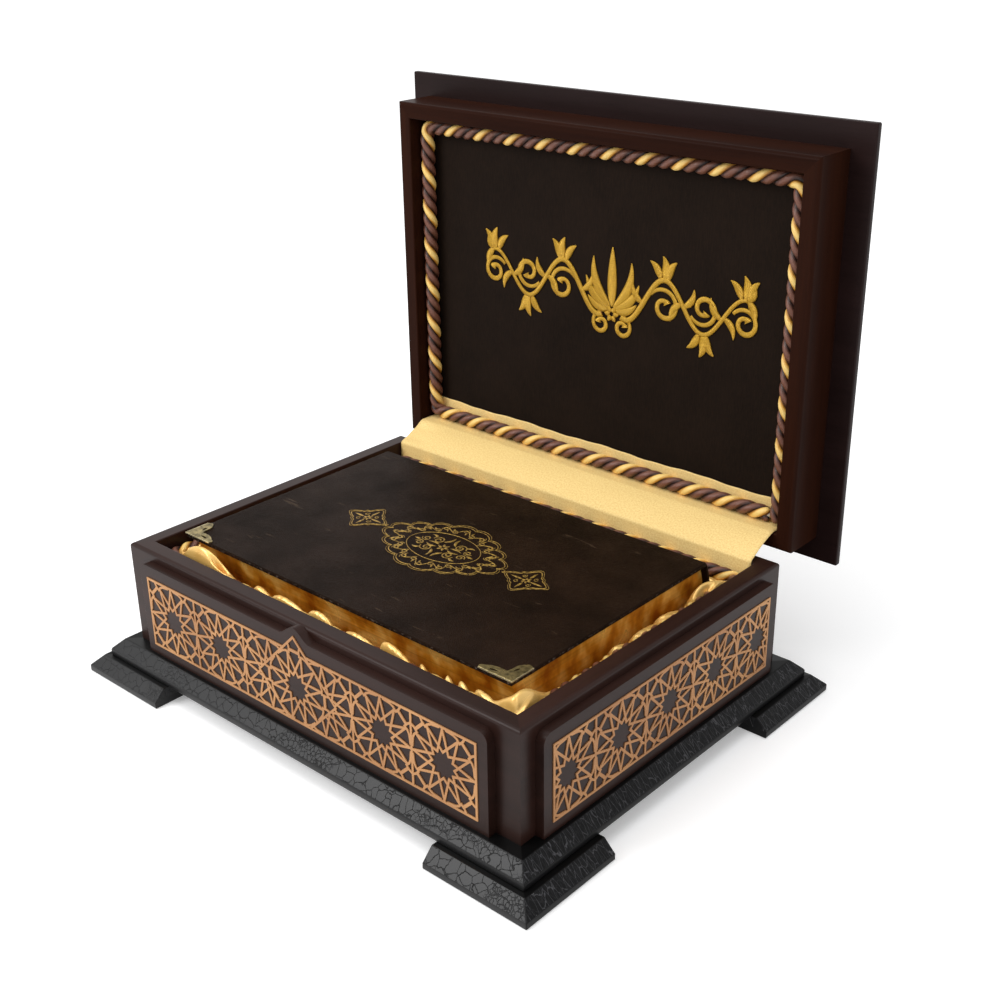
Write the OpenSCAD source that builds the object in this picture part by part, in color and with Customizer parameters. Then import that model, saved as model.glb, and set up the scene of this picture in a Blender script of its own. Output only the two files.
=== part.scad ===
// Presentation box for a large bound book, shown open. A mitred hardwood case stands on a
// bevelled base board and four corner feet. Raised panels on the front and ends carry star
// strapwork inlay. The lid is roped and lined, and hangs on two butt hinges behind the rim.
// The case is modelled about its own centre, the lid and its fittings closed; place() and
// opened() then set them on the floor and at the open stop.

/* [Case] */
// Width of the case over its end walls
case_w = 340; // [280:5:420]
// Depth of the case over its front and back walls
case_d = 250; // [215:5:320]
// Height of the walls above the base board
case_h = 72; // [66:1:100]
// Thickness of the walls
wall_t = 12; // [10:0.5:14]
// Rounding of the rim's outer edge
rim_round = 2.5; // [1:0.25:4]
// Rounding of the rim's inner edge
rim_inner_round = 1; // [0.5:0.25:2]

/* [Base and feet] */
// Thickness of the base board
base_t = 12; // [10:0.5:18]
// How far the base board stands out beyond the walls
base_over = 16; // [14.5:0.5:24]
// Thickness of the feet
foot_t = 12; // [10:0.5:18]
// How far the feet stand out beyond the walls
foot_over = 27; // [25:0.5:36]
// Side of each square foot
foot_size = 75; // [55:1:95]
// Height of the bevel along the edges of the boards and feet
bevel = 7.5; // [4:0.5:8.5]

/* [Raised panels] */
// Thickness of the panels
panel_t = 6; // [3:0.5:6.5]
// Distance from the front panel's end to the corner of the case
front_panel_inset = 17.5; // [10:0.5:30]
// Distance from an end panel's end to the corner of the case
end_panel_inset = 12; // [8:0.5:30]
// Distance from the rim down to the panels
panel_drop = 6.5; // [6.5:0.5:15]
// Radius of the panels' upper corners
panel_round = 6; // [2:0.5:10]
// Width of the peak on the front panel
peak_w = 28; // [22:1:40]
// Height of the peak on the front panel
peak_h = 7; // [4:0.5:7]

/* [Inlay] */
// Height of the strapwork above the panel
inlay_t = 0.6; // [0.4:0.1:1.2]
// Width of a strap
strap_w = 1.5; // [1.1:0.1:2]
// Distance from the strapwork to the panel's ends and foot
inlay_margin = 8; // [5:0.5:12]
// Distance from the strapwork to the panel's top
inlay_top_margin = 9; // [6:0.5:14]
// Reach of a star's points, as a share of half its cell
star_reach = 0.948; // [0.92:0.002:0.97]
// Distance between stars on the end panels
end_pitch = 46.5; // [40:0.5:60]

/* [Lid] */
// Depth of the lid's frame
lid_depth = 33; // [30:0.5:50]
// Thickness of the lid's frame
lid_wall_t = 11; // [9:0.5:14]
// Thickness of the lid's top board
lid_board_t = 12; // [10:0.5:18]
// Gap between the closed rims
lid_gap = 0.3; // [0.2:0.05:1]
// Depth from the lid's rim to its lining
lining_depth = 17.7; // [16:0.1:24]
// Thickness of the lined board
lining_t = 3; // [2:0.5:5]

/* [Hinges] */
// Distance from the ends of the case to the middle of each hinge
hinge_end = 75; // [45:1:100]
// Length of each hinge
hinge_len = 50; // [40:1:70]
// Distance from the back wall to the hinge axis
hinge_back = 6.2; // [6:0.1:8]
// Distance from the rim down to the hinge axis
hinge_drop = 5.2; // [4.8:0.1:6]
// Thickness of the leaves
leaf_t = 2; // [1.5:0.1:2.2]
// Height of the leaves
leaf_h = 22; // [16:1:23]
// Radius of the hinge barrel
barrel_r = 4; // [3.6:0.1:4.2]
// Radius of the hinge pin
pin_r = 2; // [1.5:0.1:2.2]
// Running clearance round the pin
pin_clearance = 0.05; // [0.02:0.01:0.1]
// Gap between knuckles
knuckle_gap = 0.35; // [0.2:0.05:0.8]
// Radius of the screws
screw_r = 1.5; // [1:0.1:2]
// Radius of the screw heads
screw_head_r = 2.8; // [2.2:0.1:3.5]
// Depth of the screws in the wood
screw_depth = 8; // [5:0.5:8]
// Distance from the middle of a leaf to each screw
screw_x = 15; // [10:1:18]

/* [Rope and cloth] */
// Radius of the rope trim in the case
case_rope_r = 5; // [3:0.1:5]
// Radius of the rope trim in the lid
lid_rope_r = 5.2; // [3:0.1:5.4]
// Distance from the rope to the walls, room for the cloth behind it
rope_inset = 0.9; // [0.8:0.1:1.5]
// Distance from the case rim down to the middle of its rope
case_rope_drop = 11.5; // [9:0.5:14]
// Distance from the lid rim to the middle of its rope
lid_rope_depth = 11.7; // [8:0.1:11.8]
// Thickness of the cloth flap over the hinges
flap_t = 0.5; // [0.3:0.1:0.6]
// Gap between the flap's ends and the side walls
flap_end_gap = 1; // [0.5:0.5:6]
// Length of the flap glued up the lid's lining
flap_up = 17; // [14:1:30]
// Length of the flap hanging inside the back wall
flap_down = 16; // [10:1:16]
// Rise of the flap over the rims
flap_rise = 3; // [1:0.5:5]
// Distance between the gathers of the satin round the book
fold_pitch = 19; // [16:1:30]
// Height of the gathers
fold_h = 3; // [1:0.5:5]

/* [Book] */
// Thickness of the closed book
book_h = 50; // [40:1:52]
// Room for rope and satin between the book and each end wall
book_end_gap = 16; // [15.5:0.5:30]
// Distance from the front wall to the book's fore edge
book_front_gap = 13.5; // [13:0.5:16]
// Distance from the book's spine to the back wall
book_back_gap = 22.5; // [20:0.5:40]
// Thickness of the covers
cover_t = 3; // [2:0.5:4]
// How far the covers stand out beyond the leaves
cover_square = 4; // [2:0.5:6]
// Bulge of the rounded spine
spine_bulge = 6; // [3:0.5:8]
// Height of the padded bed under the book
bed_h = 28; // [18:1:36]
// Length of the metal corners along the fore edge
corner_long = 24; // [14:1:36]
// Length of the metal corners along the book's ends
corner_short = 18; // [12:1:30]
// Thickness of the metal corners
corner_t = 0.6; // [0.4:0.1:1]

/* [Hidden] */
$fn = 64;

walnut = [0.22, 0.13, 0.10];
ebony = [0.07, 0.06, 0.06];
copper = [0.80, 0.57, 0.36];
steel = [0.70, 0.62, 0.42];
gold_satin = [0.88, 0.68, 0.30];
gold_cloth = [0.90, 0.78, 0.48];
rope_brown = [0.40, 0.27, 0.20];
velvet = [0.09, 0.07, 0.06];
hide = [0.16, 0.11, 0.10];
gilt = [0.80, 0.58, 0.22];

// Room left between pieces that lie against each other
slip = 0.3;

// Levels of the case, from the floor up
base_z = foot_t;
wall_z = base_z + base_t;
rim_z = wall_z + case_h;
cavity_w = case_w - 2 * wall_t;
cavity_d = case_d - 2 * wall_t;

// Hinge axis, and levels of the lid when it is closed
hinge_y = case_d / 2 + hinge_back;
hinge_z = rim_z - hinge_drop;
lid_rim_z = rim_z + lid_gap;
lid_board_z = lid_rim_z + lid_depth;
lining_z = lid_rim_z + lining_depth;
padding_z = lining_z + lining_t;
lid_cavity_w = case_w - 2 * lid_wall_t;
lid_cavity_d = case_d - 2 * lid_wall_t;

// Reach of the open box to the front and back, which centres it over the origin
front_reach = case_d / 2 + foot_over;
back_reach = hinge_y + lid_board_z + lid_board_t - hinge_z;
case_y = (front_reach - back_reach) / 2;

// Panels and strapwork
panel_h = case_h - panel_drop;
front_half = case_w / 2 - front_panel_inset;
end_half = case_d / 2 - end_panel_inset;
inlay_h = panel_h - inlay_margin - inlay_top_margin;
front_inlay_half = front_half - inlay_margin;
front_cells = 2 * round(front_inlay_half / inlay_h);
front_pitch = 2 * front_inlay_half / front_cells;
end_inlay_half = end_half - inlay_margin;
end_reach = ceil(end_inlay_half / end_pitch - 0.5);

// Hinge parts, measured from the axis
hinge_x = case_w / 2 - hinge_end;
knuckles = 5;
knuckle_len = (hinge_len - (knuckles - 1) * knuckle_gap) / knuckles;
pin_head_t = 1;
leaf_gap = barrel_r + slip;
lid_leaf_gap = hinge_drop + lid_gap + 1.5;
tab_face = -(pin_r + pin_clearance + 0.6);
lid_tab_foot = -2;
screw_slip = 0.05;
screw_head_t = 1.2;

// Book, which lies along the case and fills it but for the gaps, and what surrounds it
book_w = cavity_w - 2 * book_end_gap;
book_d = cavity_d - book_front_gap - book_back_gap - spine_bulge;
book_x = book_w / 2;
book_y0 = -cavity_d / 2 + book_front_gap;
book_y1 = book_y0 + book_d;
bed_z = wall_z + bed_h;
book_z = bed_z + slip;
book_top = book_z + book_h;
spine_t = 2.5;
spine_r = (pow(book_h / 2, 2) + pow(spine_bulge, 2)) / (2 * spine_bulge);
leaf_y0 = book_y0 + cover_square;
leaf_stack = book_h - 2 * cover_t;
fore_edge_hollow = 5;
fore_edge_r = (pow(leaf_stack / 2, 2) + pow(fore_edge_hollow, 2)) / (2 * fore_edge_hollow);
book_clear = 0.6;

// Rope and satin
case_rope_z = rim_z - case_rope_drop;
rope_bend = 0.4;
satin_out = [cavity_w / 2 - slip, cavity_d / 2 - slip];
satin_foot = case_rope_z - case_rope_r - slip;
fin_at = rope_inset + 2 * case_rope_r + slip;
stations_per_fold = 3;

function turned(p, a) = [p[0] * cos(a) - p[1] * sin(a), p[0] * sin(a) + p[1] * cos(a)];
function mix(a, b, f) = a + (b - a) * f;

module place() translate([0, case_y, 0]) children();

module opened()
  place() translate([0, hinge_y, hinge_z]) rotate([-90, 0, 0])
    translate([0, -hinge_y, -hinge_z]) children();

// Draws a profile given in Y and Z and carries it along X
module along_x(len) rotate([90, 0, 90]) linear_extrude(len, center = true) children();

// Draws a profile given in X and Z and carries it along Y
module along_y(len) rotate([90, 0, 0]) linear_extrude(len, center = true) children();

// Sets a drawing upright against one side of the case, facing outwards
module against_side(angle, half) rotate([0, 0, angle]) translate([0, -half, 0]) rotate([90, 0, 0]) children();

// Boards and frames

module bevelled_profile(w, t)
  polygon([[-w / 2, 0], [w / 2, 0], [w / 2, t - bevel], [w / 2 - bevel, t], [bevel - w / 2, t], [-w / 2, t - bevel]]);

module bevelled_board(w, d, t)
  intersection() {
    along_x(w) bevelled_profile(d, t);
    along_y(d) bevelled_profile(w, t);
  }

module foot_profile()
  polygon([[-foot_size, 0], [0, 0], [0, foot_t - bevel], [-bevel, foot_t], [-foot_size, foot_t]]);

// A foot for the corner at the right and back, bevelled on its two outer sides
module corner_foot()
  translate([case_w / 2 + foot_over, case_d / 2 + foot_over, 0])
    intersection() {
      translate([-foot_size / 2, 0, 0]) along_x(foot_size) foot_profile();
      translate([0, -foot_size / 2, 0]) along_y(foot_size) foot_profile();
    }

module foot(right, back)
  color(ebony) place()
    mirror([right ? 0 : 1, 0, 0]) mirror([0, back ? 0 : 1, 0]) corner_foot();

module edge_cutter(r)
  difference() {
    translate([-1, -1]) square(r + 1);
    translate([r, r]) circle(r);
  }

// Section of a frame side with its rim at the foot: outer face at zero, rim at zero
module rim_profile(t, h)
  difference() {
    square([t, h]);
    edge_cutter(rim_round);
    translate([t, 0]) mirror([1, 0]) edge_cutter(rim_inner_round);
  }

// One side of a frame, mitred at both ends, standing on its rim with its outer face at zero
module mitred_side(len, t, h)
  intersection() {
    along_x(len) rim_profile(t, h);
    linear_extrude(h) polygon([[-len / 2, 0], [len / 2, 0], [len / 2 - t, t], [t - len / 2, t]]);
  }

module case_side(angle, len, half)
  rotate([0, 0, angle]) translate([0, -half, rim_z]) mirror([0, 0, 1]) mitred_side(len, wall_t, case_h);

module lid_side(angle, len, half)
  rotate([0, 0, angle]) translate([0, -half, lid_rim_z]) mitred_side(len, lid_wall_t, lid_depth);

module base_board()
  color(ebony) place() translate([0, 0, base_z])
    bevelled_board(case_w + 2 * base_over, case_d + 2 * base_over, base_t);

module front_wall() color(walnut) place() case_side(0, case_w, case_d / 2);
module right_wall() color(walnut) place() case_side(90, case_d, case_w / 2);
module left_wall() color(walnut) place() case_side(-90, case_d, case_w / 2);

module back_wall()
  color(walnut) place()
    difference() {
      case_side(180, case_w, case_d / 2);
      each_screw(case_screw_z()) screw_hole();
    }

// Raised panels

module peak()
  polygon(concat(
    [[-peak_w / 2, panel_h - 1], [peak_w / 2, panel_h - 1]],
    [for (i = [11:-1:-11]) [i / 24 * peak_w, panel_h + peak_h * (1 + cos(15 * i)) / 2]]));

module panel_face(half, peaked) {
  translate([-half, 0]) square([2 * half, panel_h - panel_round]);
  translate([panel_round - half, 0]) square([2 * (half - panel_round), panel_h]);
  for (s = [-1, 1]) translate([s * (half - panel_round), panel_h - panel_round]) circle(panel_round);
  if (peaked) peak();
}

module panel(angle, half, stand, peaked)
  color(walnut) place() translate([0, 0, wall_z])
    against_side(angle, stand) linear_extrude(panel_t) panel_face(half, peaked);

module front_panel() panel(0, front_half, case_d / 2, true);
module right_panel() panel(90, end_half, case_w / 2, false);
module left_panel() panel(-90, end_half, case_w / 2, false);

// Strapwork: a row of square cells, each with a star of twelve points. A cell's straps follow
// lines of points, given for a cell that reaches from -1 to 1 both ways.

function polar(r, a) = [r * cos(a), r * sin(a)];
function flipped(line) = [for (p = line) [p[1], p[0]]];
function turned_line(line, angle) = [for (p = line) turned(p, angle)];

// Bars from each point of the star to the two notches of its open middle beside it
notch_r = star_reach * sin(15) / cos(45);
point_straps = [for (k = [0:11], s = [-1, 1]) [polar(star_reach, 30 * k), polar(notch_r, 30 * (k + s))]];

// Ring that ties the petals together: it leaves the cell's edge, bends down to a knot beside the
// star's point and rises from there to the edge again, round the hole at the cell's corner.
// A wider band joins the two knots of a corner. Straps that run to the edge end inside its bar.
bar_end = 1 - strap_w / inlay_h;
knot = [0.53, 0.8];
half_ring = [[0.12, bar_end], [0.345, 0.942], [0.45, 0.89], knot];
half_hole = [knot, [0.63, 0.89], [0.672, bar_end]];
tie = [[0, star_reach], [0, bar_end]];
band = [[0.6, 0.85], [0.85, 0.6]];
band_widen = 1.35;
corner_straps = [half_ring, flipped(half_ring), half_hole, flipped(half_hole), tie];
cell_straps = concat(
  point_straps,
  [for (q = [0:3], s = corner_straps) turned_line(s, 90 * q)]);

// A strap runs past its ends by a little less than half its width, so that where two meet
// squarely no corner of one falls on an edge of the other
past_end = 0.45;

function heading(line, i) =
  let (run = line[min(i + 1, len(line) - 1)] - line[max(i - 1, 0)]) run / norm(run);

module ribbon(line, w) {
  last = len(line) - 1;
  runs = [for (i = [0:last]) heading(line, i)];
  middle = concat(
    [line[0] - past_end * w * runs[0]],
    [for (i = [1:1:last - 1]) line[i]],
    [line[last] + past_end * w * runs[last]]);
  aside = [for (r = runs) w / 2 * [-r[1], r[0]]];
  polygon(concat(middle - aside, [for (i = [last:-1:0]) middle[i] + aside[i]]));
}

module strap(from, to, w) ribbon([from, to], w);

module cell(pitch) {
  size = [pitch, inlay_h] / 2;
  for (s = cell_straps) ribbon([for (p = s) [p[0] * size[0], p[1] * size[1]]], strap_w);
  for (q = [0:3])
    ribbon([for (p = turned_line(band, 90 * q)) [p[0] * size[0], p[1] * size[1]]], band_widen * strap_w);
}

// A row of cells about the given middles, with a bar along the right edge of each
module cell_row(middles, pitch)
  for (x = middles) translate([x, inlay_h / 2]) {
    cell(pitch);
    strap([pitch, -inlay_h] / 2, [pitch, inlay_h] / 2, strap_w);
  }

// Bars along a line of points
module border(points) for (i = [1:len(points) - 1]) strap(points[i - 1], points[i], strap_w);

// Front strapwork: the two middle cells give way to one set on its corner, which makes the peak
diamond_side = inlay_h / sqrt(2);
diamond_peak = diamond_side - inlay_h / 2;
diamond = [[diamond_peak, 0], [diamond_side, inlay_h / 2], [0, inlay_h / 2 + diamond_side],
           [-diamond_side, inlay_h / 2], [-diamond_peak, 0]];

module front_strapwork() {
  difference() {
    intersection() {
      translate([-front_inlay_half, 0]) square([2 * front_inlay_half, inlay_h]);
      cell_row([for (i = [0:front_cells - 1]) (i + 0.5) * front_pitch - front_inlay_half], front_pitch);
    }
    polygon(diamond);
  }
  intersection() {
    polygon(diamond);
    translate([0, inlay_h / 2]) rotate(45) cell(inlay_h);
  }
  border(diamond);
  border([[-diamond_peak, inlay_h], [-front_inlay_half, inlay_h], [-front_inlay_half, 0],
          [front_inlay_half, 0], [front_inlay_half, inlay_h], [diamond_peak, inlay_h]]);
}

module end_strapwork() {
  intersection() {
    translate([-end_inlay_half, 0]) square([2 * end_inlay_half, inlay_h]);
    cell_row([for (i = [-end_reach:end_reach]) i * end_pitch], end_pitch);
  }
  border([[-end_inlay_half, 0], [end_inlay_half, 0], [end_inlay_half, inlay_h], [-end_inlay_half, inlay_h],
          [-end_inlay_half, 0]]);
}

module inlay(angle, stand)
  color(copper) place() translate([0, 0, wall_z + inlay_margin])
    against_side(angle, stand + panel_t) linear_extrude(inlay_t) children();

module front_inlay() inlay(0, case_d / 2) front_strapwork();
module right_inlay() inlay(90, case_w / 2) end_strapwork();
module left_inlay() inlay(-90, case_w / 2) end_strapwork();

// Hinges

module barrel(r, len) rotate([0, 90, 0]) cylinder(r = r, h = len, center = true);

// Knuckles of one leaf, numbered from the left, each with a tab that joins it to the plate
module leaf_knuckles(numbers, tab_back, tab_low, tab_high)
  for (i = numbers)
    translate([(i - (knuckles - 1) / 2) * (knuckle_len + knuckle_gap), 0, 0]) {
      barrel(barrel_r, knuckle_len);
      translate([-knuckle_len / 2, tab_back, tab_low])
        cube([knuckle_len, tab_face - tab_back, tab_high - tab_low]);
    }

module leaf_plate(low)
  translate([-hinge_len / 2, -hinge_back, low]) cube([hinge_len, leaf_t, leaf_h]);

module case_leaf(at)
  color(steel) place()
    difference() {
      translate([at, hinge_y, hinge_z]) difference() {
        union() {
          leaf_plate(-leaf_gap - leaf_h);
          leaf_knuckles([0, 2, 4], -hinge_back, -leaf_gap - 1, 0.75 * barrel_r);
        }
        barrel(pin_r + pin_clearance, 2 * hinge_len);
      }
      each_screw(case_screw_z()) screw_hole();
    }

module lid_leaf(at)
  color(steel) opened()
    difference() {
      translate([at, hinge_y, hinge_z]) difference() {
        union() {
          leaf_plate(lid_leaf_gap);
          leaf_knuckles([1, 3], leaf_t / 2 - hinge_back, lid_tab_foot, lid_leaf_gap + 1);
        }
        barrel(pin_r + pin_clearance, 2 * hinge_len);
      }
      each_screw(lid_screw_z()) screw_hole();
    }

module case_leaf_left() case_leaf(-hinge_x);
module case_leaf_right() case_leaf(hinge_x);
module lid_leaf_left() lid_leaf(-hinge_x);
module lid_leaf_right() lid_leaf(hinge_x);

module hinge_pin(at)
  color(steel) place() translate([at, hinge_y, hinge_z]) {
    barrel(pin_r, hinge_len + 2 * pin_head_t);
    for (s = [-1, 1]) translate([s * (hinge_len + pin_head_t) / 2, 0, 0]) barrel(barrel_r * 0.8, pin_head_t);
  }

module hinge_pin_left() hinge_pin(-hinge_x);
module hinge_pin_right() hinge_pin(hinge_x);

function case_screw_z() = hinge_z - leaf_gap - leaf_h / 2;
function lid_screw_z() = hinge_z + lid_leaf_gap + leaf_h / 2;

// Puts a piece at each screw of the two leaves, its axis along Y and the leaf's face at zero
module each_screw(z)
  for (h = [-1, 1], s = [-1, 1])
    translate([h * hinge_x + s * screw_x, case_d / 2 + leaf_t, z]) rotate([90, 0, 0]) children();

module screw_hole()
  translate([0, 0, -1]) cylinder(r = screw_r + screw_slip, h = 1 + leaf_t + screw_depth + slip);

module screw() {
  cylinder(r = screw_r, h = leaf_t + screw_depth);
  translate([0, 0, -screw_head_t]) cylinder(r = screw_head_r, h = screw_head_t);
}

module case_screws() color(steel) place() each_screw(case_screw_z()) screw();
module lid_screws() color(steel) opened() each_screw(lid_screw_z()) screw();

// Rope trim, laid round a rectangle against its walls

module rope_loop(half_x, half_y, r) {
  bend = r + rope_bend;
  straight_x = half_x - rope_inset - r - bend;
  straight_y = half_y - rope_inset - r - bend;
  for (s = [-1, 1]) {
    translate([0, s * (straight_y + bend), 0]) rotate([0, 90, 0]) cylinder(r = r, h = 2 * straight_x, center = true);
    translate([s * (straight_x + bend), 0, 0]) rotate([90, 0, 0]) cylinder(r = r, h = 2 * straight_y, center = true);
  }
  for (a = [0:3])
    translate([straight_x * (a == 0 || a == 3 ? 1 : -1), straight_y * (a < 2 ? 1 : -1), 0])
      rotate([0, 0, 90 * a]) rotate_extrude(angle = 90) translate([bend, 0]) circle(r);
}

module case_rope()
  color(rope_brown) place() translate([0, 0, case_rope_z]) rope_loop(cavity_w / 2, cavity_d / 2, case_rope_r);

module lid_rope()
  color(rope_brown) opened() translate([0, 0, lid_rim_z + lid_rope_depth])
    rope_loop(lid_cavity_w / 2, lid_cavity_d / 2, lid_rope_r);

// Cloth flap: glued up the lid's lining, led over the rims and hung inside the back wall

lid_inner_z = hinge_z + hinge_y - lid_cavity_d / 2;
lid_face_y = hinge_y + lid_rim_z - hinge_z;
lining_y = hinge_y + lining_z - hinge_z;
flap_off = rope_inset / 2;
flap_lid_end = [lid_face_y - slip, lid_inner_z + flap_off];
flap_case_end = [cavity_d / 2 - flap_off, rim_z + flap_off + flap_t];

// Points of the free span: a straight lead with a shallow rise in its middle
flap_span = [
  for (f = [0:1 / 8:1])
    mix(flap_lid_end, flap_case_end, f) + flap_rise * sin(180 * f) * [-0.43, 0.9]
];
flap_route = concat(
  [[lining_y - flap_off, lid_inner_z + flap_up], [lining_y - flap_off, lid_inner_z + flap_off]],
  flap_span,
  [[cavity_d / 2 - flap_off, rim_z - flap_down]]);

module hinge_flap()
  color(gold_cloth) place() along_x(cavity_w - 2 * flap_end_gap)
    for (i = [0:len(flap_route) - 2]) strap(flap_route[i], flap_route[i + 1], flap_t);

// Padded bed and gathered satin round the book

module book_bed()
  color(gold_satin) place() translate([0, 0, wall_z + bed_h / 2])
    cube([2 * satin_out[0], 2 * satin_out[1], bed_h], center = true);

satin_in = [[-book_x - book_clear, book_y0 - book_clear], [book_x + book_clear, book_y1 + spine_bulge + book_clear]];
outer_corners = [[-1, -1], [1, -1], [1, 1], [-1, 1]];
inner_corners = [satin_in[0], [satin_in[1][0], satin_in[0][1]], satin_in[1], [satin_in[0][0], satin_in[1][1]]];

function outer_corner(i) = [outer_corners[i % 4][0] * satin_out[0], outer_corners[i % 4][1] * satin_out[1]];
function moat(i) = [satin_out[1] + satin_in[0][1], satin_out[0] - satin_in[1][0],
                    satin_out[1] - satin_in[1][1], satin_out[0] + satin_in[0][0]][i];
function folds(i) = round(norm(outer_corner(i + 1) - outer_corner(i)) / fold_pitch);
function fin_share(i) = (fin_at - slip) / moat(i);
fin_share_most = max([for (i = [0:3]) fin_share(i)]);

// Satin beside the back rope lies lower, so that the rope shows there
function crest(i) = case_rope_z + (i == 2 ? 0 : case_rope_r);

// Section of the satin from the wall to the book, at one station along a side
function satin_section(i, k) =
  let(f = k / (folds(i) * stations_per_fold))
  let(o = mix(outer_corner(i), outer_corner(i + 1), f), n = mix(inner_corners[i], inner_corners[(i + 1) % 4], f))
  let(share = k == 0 ? fin_share_most : fin_share(i), wave = fold_h * [0, 1, 0.4][k % stations_per_fold])
  let(top = crest(k == 0 ? 2 : i) + wave, fin = mix(o, n, share), ridge = mix(fin, n, 0.5))
  [
    [o[0], o[1], bed_z], [n[0], n[1], bed_z], [n[0], n[1], top - fold_h - 2],
    [ridge[0], ridge[1], top], [fin[0], fin[1], top - 1], [fin[0], fin[1], satin_foot], [o[0], o[1], satin_foot]
  ];

satin_sections = [for (i = [0:3], k = [0:folds(i) * stations_per_fold - 1]) satin_section(i, k)];

module ring_of_sections(sections) {
  n = len(sections);
  m = len(sections[0]);
  polyhedron(
    [for (s = sections, p = s) p],
    [for (i = [0:n - 1], j = [0:m - 1])
      let(a = i * m + j, b = i * m + (j + 1) % m, c = ((i + 1) % n) * m + j, d = ((i + 1) % n) * m + (j + 1) % m)
      each [[a, b, d], [a, d, c]]]);
}

module satin_surround() color(gold_satin) place() ring_of_sections(satin_sections);

// Lid

module lid_board()
  color(walnut) opened() translate([0, 0, lid_board_z])
    bevelled_board(case_w + 2 * base_over, case_d + 2 * base_over, lid_board_t);

module lid_front_rail() color(walnut) opened() lid_side(0, case_w, case_d / 2);
module lid_right_rail() color(walnut) opened() lid_side(90, case_d, case_w / 2);
module lid_left_rail() color(walnut) opened() lid_side(-90, case_d, case_w / 2);

module lid_back_rail()
  color(walnut) opened()
    difference() {
      lid_side(180, case_w, case_d / 2);
      each_screw(lid_screw_z()) screw_hole();
    }

module lid_sheet(z, t)
  translate([0, 0, z + t / 2]) cube([lid_cavity_w - 2 * slip, lid_cavity_d - 2 * slip, t], center = true);

module lid_lining() color(velvet) opened() lid_sheet(lining_z, lining_t);
module lid_padding() color(gold_cloth) opened() lid_sheet(padding_z, lid_board_z - padding_z);

// Book, lying with its fore edge to the front and its spine to the back

module cover(z)
  color(hide) place() translate([-book_x, book_y0, z]) cube([book_w, book_d, cover_t]);

module upper_cover() cover(book_top - cover_t);
module lower_cover() cover(book_z);

// Stack behind the joint line, inside a spine of the given radius
module spine_disc(r) translate([book_y1 + spine_bulge - spine_r, book_z + book_h / 2]) circle(r, $fn = 128);

module behind_joint(from, h)
  translate([from, book_z + (book_h - h) / 2]) square([spine_bulge + spine_t + 10, h]);

module spine()
  color(hide) place() along_x(book_w)
    intersection() {
      difference() {
        spine_disc(spine_r);
        spine_disc(spine_r - spine_t);
      }
      behind_joint(book_y1, book_h);
    }

// Leaves sewn to a rounded back, with the hollow fore edge that goes with it
module text_block()
  color(gilt) place() along_x(book_w - 2 * cover_square)
    difference() {
      union() {
        translate([leaf_y0, book_z + cover_t]) square([book_y1 - leaf_y0, leaf_stack]);
        intersection() {
          spine_disc(spine_r - spine_t - slip);
          behind_joint(book_y1 - 1, leaf_stack);
        }
      }
      translate([leaf_y0 + fore_edge_hollow - fore_edge_r, book_z + book_h / 2]) circle(fore_edge_r, $fn = 128);
    }

module corner_outline()
  difference() {
    polygon([[0, 0], [corner_long, 0], [corner_long * 0.55, corner_short * 0.3],
             [corner_long * 0.3, corner_short * 0.55], [0, corner_short]]);
    translate([corner_long * 0.24, corner_short * 0.24]) circle(corner_short * 0.11);
  }

// Metal corner bent over the cover's top and its two edges
module cover_corner() {
  translate([0, 0, cover_t]) linear_extrude(corner_t) corner_outline();
  translate([0, -corner_t, 0]) cube([corner_long, corner_t, cover_t + corner_t]);
  translate([-corner_t, -corner_t, 0]) cube([corner_t, corner_short + corner_t, cover_t + corner_t]);
}

module cover_corners()
  color(steel) place()
    for (s = [0, 1]) mirror([s, 0, 0]) translate([-book_x, book_y0, book_top - cover_t]) cover_corner();

foot(false, false);  // foot_front_left
foot(true, false);  // foot_front_right
foot(false, true);  // foot_back_left
foot(true, true);  // foot_back_right
base_board();
front_wall();
back_wall();
left_wall();
right_wall();
front_panel();
left_panel();
right_panel();
front_inlay();
left_inlay();
right_inlay();
case_leaf_left();
case_leaf_right();
hinge_pin_left();
hinge_pin_right();
case_screws();
book_bed();
satin_surround();
case_rope();
hinge_flap();
lid_board();
lid_front_rail();
lid_back_rail();
lid_left_rail();
lid_right_rail();
lid_padding();
lid_lining();
lid_rope();
lid_leaf_left();
lid_leaf_right();
lid_screws();
upper_cover();
lower_cover();
spine();
text_block();
cover_corners();
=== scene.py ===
"""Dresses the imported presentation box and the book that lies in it.

The wood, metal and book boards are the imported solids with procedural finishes. Rope, satin, flap, lining,
embroidery, gold stamping and the pierced corners are surfaces worked out here with numpy. Their sizes are
in millimetres, in the part's own frame, and become metres when a mesh is written. Camera and light are in
metres.
"""

import logging
from dataclasses import dataclass, field
from enum import Enum
from typing import Sequence

import bmesh
import bpy
import numpy as np
from mathutils import Matrix

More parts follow.
